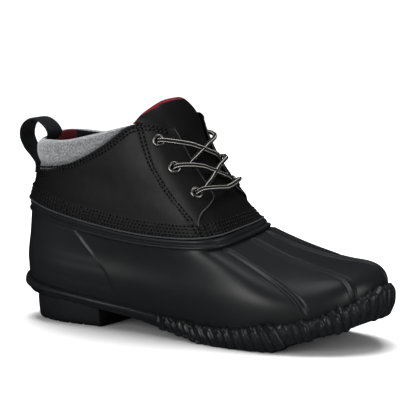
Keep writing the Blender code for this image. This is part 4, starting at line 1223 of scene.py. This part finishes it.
def sewn_margin(up):
    """Troughs under the rows along the leather's lower edge, and the roll of the edge itself."""
    return 0.45 * bump(up - 0.7, 0.55) - troughs(up, BAND_ROWS, BAND_TROUGH)


def band_height(up):
    """Soft step down past the last row along the leather's lower edge."""
    return smooth((BAND_ROWS[-1] + 2.0 - up) / 1.6)


def heel_bulge(u):
    """Lift where the margin thickens over the back seam."""
    return 1.5 * bump(u, 0.9)


def quarter_lift(u, share, edge, run, across, height):
    """Lift of a quarter: eyestay, rounded edges and troughs under the stitches.

    run is the leather's bottom and top, across and height are millimetres a station and a share.
    """
    bottom, top = run
    to_front = (edge - u) * across
    to_top = (1 - share) * (top - bottom) * height
    to_bottom = share * (top - bottom) * height
    lift = stay_lift(u, share) + band_height(to_bottom) * (0.3 + heel_bulge(u)) + sewn_margin(to_bottom)
    lift += 0.35 * smooth((2.0 - to_top) / 0.6) - troughs(to_top, TOP_ROWS, TOP_TROUGH)
    lift -= troughs((stay_station(share) - u) * across, STAY_ROWS, STAY_TROUGH)
    lift -= np.maximum(edge_drop(to_front, 1.1) / 1.1, edge_drop(to_top, 0.9) / 0.9)
    return lift - 0.7 * edge_drop(to_bottom, 0.8) / 0.8


def stay_station(share):
    rows = np.array(STAY_LINE)
    return between(rows[:, 0], rows[:, 1], share)


def stay_lift(u, share):
    """Lift of a quarter, which thickens in front of the rows behind the eyelets."""
    return QUARTER_LIFT + (EYESTAY_LIFT - QUARTER_LIFT) * smooth((u - stay_station(share) + 0.3) / 1.0)


def make_quarter(side, word):
    """One quarter with its eyestay, from the back seam to its front edge over the vamp."""
    u, share, edge = quarter_grid()
    bottom, top, t = leather_run(u, share)
    uu = on_side(u, side)
    points, normal, across, height = surface_frame(leg_surface, uu, t)
    lift = quarter_lift(u, share, edge, (bottom, top), across, height)
    for route, width, height in QUARTER_CREASES:
        placed = [(x, -side * CREASE_OUT * CREASE_FLAT, z) for x, z in route]
        lift += mark(points * (1, CREASE_FLAT, 1), placed, width, height)
    seats = eyelet_seats(side)
    depth, half = EYELET_DENT
    for centre, _ in seats:
        lift -= depth * bump(np.linalg.norm(points - centre, axis=-1), half)
    final = points + normal * lift[..., None]
    if side < 0:
        # The photo shows the far eyestay's top higher than the near one's.
        taller = INNER_STAY_RISE * smooth((share - 0.9) / 0.1) * smooth((u - 4.6) / 1.0)
        final = (final + collar_way(uu) * taller[..., None])[:, ::-1]
    piece = sheet("quarter_" + word, final)
    for centre, _ in seats:
        pierce(piece, centre)
    apply_modifier(piece, "SOLIDIFY", thickness=LEATHER_THICK * MM, offset=-1)
    dress(piece, "leather", "leather", "upper")


def pierce(piece, centre):
    """Open a hole where an eyelet goes."""
    middle = Vector(to_frame(centre))
    select_only(piece)
    bpy.ops.object.mode_set(mode="EDIT")
    bpy.ops.mesh.select_mode(type="FACE")
    bpy.ops.mesh.select_all(action="DESELECT")
    bpy.ops.object.mode_set(mode="OBJECT")
    for face in piece.data.polygons:
        face.select = (face.center - middle).length < EYELET_HOLE * MM
    bpy.ops.object.mode_set(mode="EDIT")
    bpy.ops.mesh.delete(type="FACE")
    bpy.ops.object.mode_set(mode="OBJECT")


def tongue_heights():
    """Heights of the tongue's rows, close together at the stitches and at its top."""
    runs = np.linspace(0, 0.17, 40), np.linspace(0.17, 0.43, 26)[1:], np.linspace(0.43, 1.93, 96)[1:]
    return np.concatenate([*runs, [1.95, 1.97, 1.985, 1.995, 2.0]])


def tongue_layer(outer_share, inner_share, widen, lowest):
    """Closed sections of a layer of the tongue between two depths, from a lowest height to its top."""
    front = np.linspace(-1, 1, 73)
    wing = np.maximum(np.abs(front) - WING_START, 0) / (1 - WING_START)
    round_side = np.sqrt(np.maximum(1 - np.abs(front) ** 14, 0))
    rings = []
    for height in tongue_heights():
        if height < lowest:
            continue
        start, out, thick = (column(TONGUE, TONGUE_COLUMNS, name, height) for name in TONGUE_COLUMNS[1:])
        start = start - widen * smooth((height - 1.05) / 0.4)
        u = TIP + (TIP - start) * front
        drop = WING_DROP * wing * smooth((height - 0.5) / 0.1)
        low = leg_share(u, LEATHER_UP)
        t = np.where(height <= 1, (low + (1 - low) * height), height) / 2
        points, normal, _, _ = surface_frame(tongue_surface, u, t)
        cap = math.sqrt(max(1 - max(height - 1.9, 0) ** 2 / 0.01, 0.0))
        up = height * leg_length(u) * (1 - low)
        margin = VAMP_MARGIN * band_height(up) + sewn_margin(up)
        middle = out - drop - thick * (outer_share + inner_share) / 2 + margin
        half = thick * (inner_share - outer_share) / 2 * round_side * cap
        face = points + normal * (middle + half)[:, None]
        back = points + normal * (middle - half)[:, None]
        rings.append(np.concatenate([face, back[::-1][1:]]))
    return np.array(rings)


def make_tongue():
    """Leather vamp that runs up into the tongue, over its fleece lining."""
    rings = tongue_layer(0.0, LEATHER_LAYER, 0.0, 0.0)
    away = unit(rings - np.array([90.0, 0.0, 60.0]))
    creases = sum(mark(rings, route, width, depth) for route, width, depth in VAMP_CREASES)
    closed("tongue_leather", rings + away * creases[..., None], "leather", "leather", "tongue")
    rings = tongue_layer(LEATHER_LAYER, FLEECE_LAYER, FLEECE_WIDEN, FLEECE_LOWEST)
    # The fleece stands a little proud of the leather at the top.
    rings[..., 2] += FLEECE_RISE * smooth((rings[..., 2] - 140) / 6)
    # Placed so that one red square shows along the outer side of the tongue's edge.
    pattern = np.stack([(rings[..., 1] + 31) * 0.8 + 11, rings[..., 2] - 129], -1)
    fleece = closed("tongue_lining", rings, "fleece", "fleece", "tongue", pattern=pattern)


def cuff_place(u, section):
    """Point of the cuff's section at stations u, thinner towards the front ends."""
    share, up, lift = section
    whole = leg_length(u)
    leather = leather_share(u) * whole
    size = np.minimum(1.0, CUFF_SMALLEST + (whole - leather) / CUFF_FULL_HEIGHT)
    taller = share * INNER_CUFF_RISE * bump(u + 0.9, 0.8)
    up = leather + share * (whole - leather) + up * size + taller
    return leg_point(u, up, (lift - CUFF_MIDDLE) * size + CUFF_MIDDLE)


def make_cuff():
    """Padded felt cuff, fullest at the heel, with slight lumps of its stuffing."""
    u = np.linspace(-CUFF_END, CUFF_END, 150)
    sections = np.array([cuff_place(u, row) for row in CUFF_SECTION]).transpose(1, 0, 2)
    rings = np.array([spline_through(ring, 49, closed=True) for ring in sections])
    centre = rings.mean(1, keepdims=True)
    x, y, z = rings[..., 0], rings[..., 1], rings[..., 2]
    lumps = 0.03 * np.sin(x / 5.5) * np.cos(y / 7.0) + 0.02 * np.sin(z / 3.1)
    rings = centre + (rings - centre) * (1 + lumps[..., None])
    cuff = closed("felt_cuff", capped(rings, centre), "felt", "felt", "collar_cuff")


def make_lining():
    """Check fleece down the inside of the leg and the shell."""
    u = np.linspace(-LINING_END, LINING_END, 190)
    start, end = leather_share(u) * leg_length(u) - LINING_RUN[0], LINING_RUN[1]
    upper, lower, shell = LINING_DEEP
    sections = [cuff_place(u, row) for row in LINING_SECTION]
    for share in np.linspace(0, 1, 8):
        depth = upper + (lower - upper) * share
        sections.append(leg_point(u, start + (end - start) * share, np.full_like(u, -depth)))
    for share in np.linspace(0.96, 0.2, 12):
        sections.append(skin(shell_surface, u, np.full_like(u, share), np.full_like(u, -shell)))
    lines = np.array([spline_through(line, 70) for line in np.array(sections).transpose(1, 0, 2)])
    points = lines.transpose(1, 0, 2)
    down = np.array([run_along(line) for line in lines]).T
    pattern = np.stack([run_along(points[0]) + LINING_SHIFT + 0 * down, down + 1.0], -1)
    piece = sheet("collar_lining", points[:, ::-1], pattern)
    in_edit_mode(piece, merge)
    apply_modifier(piece, "SOLIDIFY", thickness=LINING_THICK * MM, offset=-1)
    dress(piece, "fleece", "fleece")


def make_insole():
    """Footbed with a rounded upper edge and a faint dip under the heel."""
    u = np.linspace(0, ROUND, 161)
    layers = [(foot_plan(u, -inward), rise) for inward, rise in INSOLE_EDGE]
    outline, top = layers[-1]
    for share in np.linspace(0.9, 0.0, 12):
        place = outline * (1, share)
        layers.append((place, top - INSOLE_HOLLOW * bump(place[:, 0] - 35, 22) * (1 - share**2)))
    rings = np.array([
        with_z(place, sole_at(place[:, 0], "ledge_z") + INSOLE_UP + rise) for place, rise in layers
    ])
    closed("footbed", rings, "fleece", "fleece", "insole", pattern=rings[..., :2])


def make_pull_loop():
    """Woven strap with rounded edges, looped over the heel."""
    path = spline_through(LOOP, 130)
    along = unit(np.gradient(path, axis=0))
    angle = np.linspace(0, 2 * math.pi, 41)
    across = LOOP_WIDTH / 2 * np.sign(np.cos(angle)) * np.abs(np.cos(angle)) ** 0.35
    deep = LOOP_THICK / 2 * np.sign(np.sin(angle)) * np.abs(np.sin(angle)) ** 0.7
    x, z = path[:, :1] - along[:, 1:] * deep, path[:, 1:] + along[:, :1] * deep
    rings = np.stack([x, across + 0 * x, z], -1)
    rings = capped(rings, rings.mean(1, keepdims=True))
    closed("heel_pull_loop", rings, "webbing", "webbing", "pull_loop")


def make_edge_roll():
    """Burnished cut edges of the quarters, which catch a thin line of light, helped by a painted highlight.
    """
    u = np.linspace(-TIP, TIP, 700)
    away = np.abs(u)
    front = smooth((away - 5.1) / 0.1)
    quarter = QUARTER_LIFT + 0.15 + heel_bulge(np.minimum(away, 5.2))
    lift = quarter * (1 - front) + (VAMP_LIFT + VAMP_MARGIN) * front + 0.5
    path, _ = leg_line(u % ROUND, LEATHER_UP + 0.35, lift)
    tube("leather_edge_roll", path, 0.55, 10, "edge", "leather", "upper")
    for side, word in SIDES:
        share = np.linspace(0.13, 0.99, 160)
        u = quarter_at(share, "edge")
        bottom = leg_share(u, LEATHER_UP)
        t = bottom + share * (1 - bottom)
        path = skin(leg_surface, on_side(u, side), t, stay_lift(u, share) - 0.45)
        tube(f"eyestay_edge_{word}", path, 0.5, 10, "edge", "leather", "upper")


def make_backstay():
    """Leather strip over the back seam, its lower end standing off a little."""
    part, share = np.meshgrid(np.linspace(-1, 1, 33), np.linspace(0, 1, 41))
    rows = np.array(BACKSTAY)
    up = BACKSTAY_RUN[0] + (BACKSTAY_RUN[1] - BACKSTAY_RUN[0]) * share
    half = between(rows[:, 0], rows[:, 1], up)
    over_margin = 1.1 - 1.1 * smooth((up - 17.5) / 4.0)
    flare = 1.3 * bump(share, 0.14)
    lift = 2.9 + over_margin + flare - 0.7 * edge_drop(half * (1 - np.abs(part)), 1.0)
    piece = sheet("back_strip", leg_point(part * half / HEEL_STATION_LENGTH, up, lift))
    apply_modifier(piece, "SOLIDIFY", thickness=BACKSTAY_THICK * MM, offset=-1)
    dress(piece, "leather", "leather", "backstay")


def make_eyelets():
    """Six turned eyelets: a rolled flange on the leather and a barrel down its hole."""
    profile = spline_through(EYELET_PROFILE, 40)
    radius, rise = profile[:, :1, None], profile[:, 1:, None]
    angle = np.linspace(0, 2 * math.pi, 41)[:, None]
    seats = [seat for pair in zip(eyelet_seats(1), eyelet_seats(-1)) for seat in pair]
    for number, (centre, normal) in enumerate(seats, 1):
        across = unit(np.cross([0, 0, 1.0], normal))
        turn = np.cos(angle) * across + np.sin(angle) * np.cross(normal, across)
        rings = centre + turn * radius + normal * rise
        closed(f"eyelet_ring_{number}", rings, "metal", "metal", f"eyelet_{number}")


def lace_route(name, side):
    """Centre line of a strand, from over its eyelet across the tongue to the other eyestay."""
    start, low, middle, end, high, lifts = LACES[name]
    share = np.linspace(0, 1, 25)
    u = on_side(start + (end - start) * share, side)
    t = (1 - share) ** 2 * low + 2 * share * (1 - share) * middle + share**2 * high
    return skin(leg_surface, u, t, np.interp(share, LACE_LIFT_SHARE, lifts))


def through_eyelet(route, centre, normal):
    """Replace the start of a route over an eyelet by a bend that goes down its hole."""
    ahead = route[4] - centre
    ahead = unit(ahead - normal * (ahead @ normal))
    bend = [centre + ahead * along + normal * up for along, up in EYELET_BEND]
    return np.array(bend + [point for point in route[4:] if np.linalg.norm(point - centre) > EYELET_CLEAR])


def make_laces(sizes):
    """One lace as it shows: a bar over the lowest pair of eyelets and two crossings."""
    radius = sizes.lace / MM / 2
    seats = {1: eyelet_seats(1), -1: eyelet_seats(-1)}
    route = through_eyelet(lace_route("bar", 1), *seats[1][0])
    route = through_eyelet(route[::-1], *seats[-1][0])[::-1]
    tube("lace_lowest_bar", spline_through(route, 150), radius, LACE_SIDES, "cord", "cord", "lace_bar")
    for level, name in ((1, "lower"), (2, "upper")):
        for side, word in ((1, "over"), (-1, "under")):
            route = through_eyelet(lace_route(name, side), *seats[side][level])
            route = spline_through(np.concatenate([route[:-1], under_eyestay(name, side)]), 170)
            tube(f"lace_{name}_{word}", route, radius, LACE_SIDES, "cord", "cord", f"lace_crossing_{name}")


def under_eyestay(name, side):
    """Last stretch of a strand, from the edge of the other eyestay to below it."""
    end, high = LACES[name][3:5]
    onward, up, lift = np.array(LACE_TAIL).T
    return skin(leg_surface, on_side(end + onward, side), high + up, lift)


# Stitches.


def small_ball(half, segments, rings):
    """A ball squeezed to three half sizes, for a stitch or for the dot of painted shade at its end."""
    bpy.ops.object.select_all(action="DESELECT")
    bpy.ops.mesh.primitive_uv_sphere_add(segments=segments, ring_count=rings, radius=1.0)
    model = bpy.context.object
    in_edit_mode(
        model,
        lambda: bpy.ops.transform.rotate(value=math.pi / 2, orient_axis="Y", center_override=(0, 0, 0)),
        lambda: bpy.ops.transform.resize(value=half, center_override=(0, 0, 0)),
    )
    return model


def along_line(line, pitch):
    """Places of stitches at a pitch along a line on a surface, given as its points and normals."""
    run = run_along(line[0])
    count = max(int(run[-1] / pitch), 1)
    places = (np.arange(count) + 0.5) * run[-1] / count
    spots, ups = (np.stack([np.interp(places, run, axis) for axis in values.T], -1) for values in line)
    ups = unit(ups)
    ahead = np.gradient(spots, axis=0)
    ahead = unit(ahead - ups * (ahead * ups).sum(1, keepdims=True))
    return list(zip(to_frame(spots), ahead, np.cross(ups, ahead), ups))


def leg_line(u, up, lift):
    """Line on the leg at a distance up, as its points and normals."""
    points, normal, _, _ = surface_frame(leg_surface, u, leg_share(u, up))
    return points + normal * np.asarray(lift)[..., None], normal


def band_rows(pitch):
    """Places of the stitches round the leather's lower edge."""
    quarter, vamp = np.linspace(0.29, 5.17, 300), np.linspace(5.25, ROUND - 5.25, 260)
    lift = QUARTER_LIFT - 0.05 + heel_bulge(quarter)
    places = []
    for up in BAND_ROWS:
        for side, _ in SIDES:
            places += along_line(leg_line(on_side(quarter, side), LEATHER_UP + up, lift), pitch)
        places += along_line(leg_line(vamp, LEATHER_UP + up, VAMP_LIFT + VAMP_MARGIN - 0.3), pitch)
    return places


def quarter_rows(pitch):
    """Places of the stitches behind the eyelets and below the collar edge of both quarters."""
    share = np.linspace(0.16, 0.985, 220)
    front = stay_station(share)
    t = leather_run(front, share)[2]
    across = surface_frame(leg_surface, front, t)[2]
    collar = np.linspace(0.25, 5.7, 320)
    height, lift = leather_share(collar) * leg_length(collar), stay_lift(collar, 0.97) + 0.02
    places = []
    for side, _ in SIDES:
        for back in STAY_ROWS:
            u = front - back / across
            points, normal, _, _ = surface_frame(leg_surface, on_side(u, side), t)
            places += along_line((points + normal * (stay_lift(u, share) - 0.02)[:, None], normal), pitch)
        for down in TOP_ROWS:
            places += along_line(leg_line(on_side(collar, side), height - down, lift), pitch)
    return places


def make_stitching(sizes):
    """Rows of stitches along the band, behind the eyelets and below the collar edge."""
    pitch = sizes.stitch_pitch / MM
    half = (sizes.stitch_length / 2, sizes.thread / 2, sizes.thread / 2)
    model = small_ball(half, 8, 6)
    hole_shade_dot = small_ball([sizes.thread * share for share in HOLE_HALF], 8, 4)
    for name, places in (("band", band_rows(pitch)), ("quarter", quarter_rows(pitch))):
        dress(copies(name + "_stitching", model, places), "thread", "leather")
        # Painted shade: a dark dot at the end of each stitch stands for the shade in its needle hole.
        ends = [(spot + ahead * sizes.stitch_pitch / 2, ahead, *rest) for spot, ahead, *rest in places]
        dress(copies(name + "_painted_hole_shade", hole_shade_dot, ends), "hole", "leather")
    bpy.data.objects.remove(model)
    bpy.data.objects.remove(hole_shade_dot)


# Stage.

CAMERA_AZIMUTH = 31.18
CAMERA_ELEVATION = 8.15
CAMERA_DISTANCE = 1.5
CAMERA_LENS = 192.3
LOOK_AT = (0.097, 0.0, 0.070)
LOOK_RIGHT = 0.00162
LOOK_UP = 0.01303
BOOT_CENTRE = (0.1, 0.0, 0.06)
FLOOR_SIZE = 1.9
# Strength of the world for everything but the camera, and for the camera.
WORLD_LIGHT = (0.28, 1.2)
# Softboxes: degrees round from the camera and up from the floor, distance, size and power.
SOFTBOXES = {
    "left_box": (-44, 17, 1.6, (0.9, 0.7), 8.0),
    "front_box": (50, 16, 1.4, (0.8, 0.6), 3.6),
    "top_box": (-60, 82, 1.3, (0.7, 0.5), 1.8),
}


def make_camera():
    """Camera at the photograph's angle, and its ways right and back."""
    a, e = math.radians(CAMERA_AZIMUTH), math.radians(CAMERA_ELEVATION)
    back = Vector((math.sin(a) * math.cos(e), -math.cos(a) * math.cos(e), math.sin(e)))
    right = Vector((math.cos(a), math.sin(a), 0.0))
    up = back.cross(right)
    target = Vector(LOOK_AT) + right * LOOK_RIGHT + up * LOOK_UP
    bpy.ops.object.camera_add(location=target + back * CAMERA_DISTANCE)
    camera = bpy.context.object
    camera.rotation_mode = "QUATERNION"
    camera.rotation_quaternion = back.to_track_quat("Z", "Y")
    camera.data.lens = CAMERA_LENS
    camera.data.sensor_width = 36.0
    camera.data.clip_end = 50.0
    bpy.context.scene.camera = camera
    return right, back


def soft_light(name, place, size, power):
    """Softbox aimed at the boot."""
    bpy.ops.object.light_add(type="AREA", location=place)
    light = bpy.context.object
    light.name = name
    light.data.shape = "RECTANGLE"
    light.data.size, light.data.size_y = size
    light.data.energy = power
    light.rotation_mode = "QUATERNION"
    light.rotation_quaternion = (Vector(place) - Vector(BOOT_CENTRE)).to_track_quat("Z", "Y")
    return light


def make_stage():
    """Pale floor, soft lights and the camera."""
    bpy.ops.object.select_all(action="DESELECT")
    bpy.ops.mesh.primitive_plane_add(size=FLOOR_SIZE)
    floor = bpy.context.object
    floor.name = "studio_floor"
    floor.data.materials.append(studio_paper())
    floor.visible_glossy = False
    scene = bpy.context.scene
    scene.world = world = scene.world or bpy.data.worlds.new("World")
    world.use_nodes = True
    tree = world.node_tree
    background = tree.nodes["Background"]
    background.inputs["Color"].default_value = (1.0, 1.0, 1.0, 1.0)
    # The camera sees plain white past the floor, and everything else a dim even light.
    seen = node(tree, "ShaderNodeLightPath").outputs["Is Camera Ray"]
    strength = node(tree, "ShaderNodeMapRange", (seen, 0.0, 1.0, *WORLD_LIGHT))
    tree.links.new(strength.outputs["Result"], background.inputs["Strength"])
    world.cycles_visibility.glossy = False
    scene.view_settings.view_transform = "Standard"
    right, back = make_camera()
    level = Vector((back.x, back.y, 0.0)).normalized()
    key = soft_light("overhead_bank", Vector((0.1, 0.0, 2.0)) - level * 0.9, (1.8, 1.8), 100.0)
    key.visible_glossy = False
    for name, (azimuth, elevation, away, size, power) in SOFTBOXES.items():
        place = Vector(BOOT_CENTRE) + direction(right, level, azimuth, elevation) * away
        soft_light(name, place, size, power)


def direction(right, level, azimuth, elevation):
    """Unit way from the boot, by degrees round from the camera and up from the floor."""
    a, e = math.radians(azimuth), math.radians(elevation)
    return (level * math.cos(a) + right * math.sin(a)) * math.cos(e) + Vector((0, 0, math.sin(e)))


class BOOT_OT_shell(bpy.types.Operator):
    """Model the moulded shell with its ridges, heel counter and band."""

    bl_idname = "boot.shell"
    bl_label = "Rubber shell"

    def execute(self, context):
        make_shell(context.scene.boot_sizes)
        return {"FINISHED"}


class BOOT_OT_rand(bpy.types.Operator):
    """Model the rope-pattern rand round the sole."""

    bl_idname = "boot.rand"
    bl_label = "Rope rand"

    def execute(self, context):
        make_rand(context.scene.boot_sizes)
        return {"FINISHED"}


class BOOT_OT_tread(bpy.types.Operator):
    """Model the chevron tread and the heel block."""

    bl_idname = "boot.tread"
    bl_label = "Tread and heel"

    def execute(self, context):
        make_tread()
        make_heel_block()
        return {"FINISHED"}


class BOOT_OT_quarters(bpy.types.Operator):
    """Model both leather quarters with their eyestays."""

    bl_idname = "boot.quarters"
    bl_label = "Quarters"

    def execute(self, context):
        for side, word in SIDES:
            make_quarter(side, word)
        make_edge_roll()
        return {"FINISHED"}


class BOOT_OT_tongue(bpy.types.Operator):
    """Model the leather vamp that runs up into the lined tongue."""

    bl_idname = "boot.tongue"
    bl_label = "Vamp and tongue"

    def execute(self, context):
        make_tongue()
        return {"FINISHED"}


class BOOT_OT_cuff(bpy.types.Operator):
    """Model the padded felt cuff."""

    bl_idname = "boot.cuff"
    bl_label = "Cuff"

    def execute(self, context):
        make_cuff()
        return {"FINISHED"}


class BOOT_OT_lining(bpy.types.Operator):
    """Model the check fleece inside and the footbed."""

    bl_idname = "boot.lining"
    bl_label = "Lining"

    def execute(self, context):
        make_lining()
        make_insole()
        return {"FINISHED"}


class BOOT_OT_heel_straps(bpy.types.Operator):
    """Model the strap loop and the strip over the back seam."""

    bl_idname = "boot.heel_straps"
    bl_label = "Pull loop and backstay"

    def execute(self, context):
        make_pull_loop()
        make_backstay()
        return {"FINISHED"}


class BOOT_OT_eyelets(bpy.types.Operator):
    """Model the six plated eyelets."""

    bl_idname = "boot.eyelets"
    bl_label = "Eyelets"

    def execute(self, context):
        make_eyelets()
        return {"FINISHED"}


class BOOT_OT_laces(bpy.types.Operator):
    """Model the lace as it runs through the eyelets."""

    bl_idname = "boot.laces"
    bl_label = "Laces"

    def execute(self, context):
        make_laces(context.scene.boot_sizes)
        return {"FINISHED"}


class BOOT_OT_stitching(bpy.types.Operator):
    """Sew the rows of stitches."""

    bl_idname = "boot.stitching"
    bl_label = "Stitching"

    def execute(self, context):
        make_stitching(context.scene.boot_sizes)
        return {"FINISHED"}


class BOOT_OT_stage(bpy.types.Operator):
    """Set up the floor, the lights and the camera."""

    bl_idname = "boot.stage"
    bl_label = "Stage"

    def execute(self, context):
        make_stage()
        return {"FINISHED"}


OPERATORS = (
    BOOT_OT_shell, BOOT_OT_rand, BOOT_OT_tread, BOOT_OT_quarters, BOOT_OT_tongue, BOOT_OT_cuff,
    BOOT_OT_lining, BOOT_OT_heel_straps, BOOT_OT_eyelets, BOOT_OT_laces, BOOT_OT_stitching, BOOT_OT_stage,
)


class BOOT_PT_panel(bpy.types.Panel):
    """Lists the boot's operators in the order they run."""

    bl_idname = "BOOT_PT_panel"
    bl_label = "Duck boot"
    bl_space_type = "VIEW_3D"
    bl_region_type = "UI"
    bl_category = "Boot"

    def draw(self, context):
        for kind in OPERATORS:
            self.layout.operator(kind.bl_idname)
        for group in (context.scene.boot_colours, context.scene.boot_sizes):
            for name in group.__annotations__:
                self.layout.prop(group, name)


CLASSES = (BootColours, BootSizes, *OPERATORS, BOOT_PT_panel)


def register():
    for kind in CLASSES:
        bpy.utils.register_class(kind)
    bpy.types.Scene.boot_colours = bpy.props.PointerProperty(type=BootColours)
    bpy.types.Scene.boot_sizes = bpy.props.PointerProperty(type=BootSizes)


def unregister():
    del bpy.types.Scene.boot_sizes
    del bpy.types.Scene.boot_colours
    for kind in reversed(CLASSES):
        bpy.utils.unregister_class(kind)


def main():
    register()
    for kind in OPERATORS:
        group, name = kind.bl_idname.split(".")
        getattr(getattr(bpy.ops, group), name)()


if __name__ == "__main__":
    main()
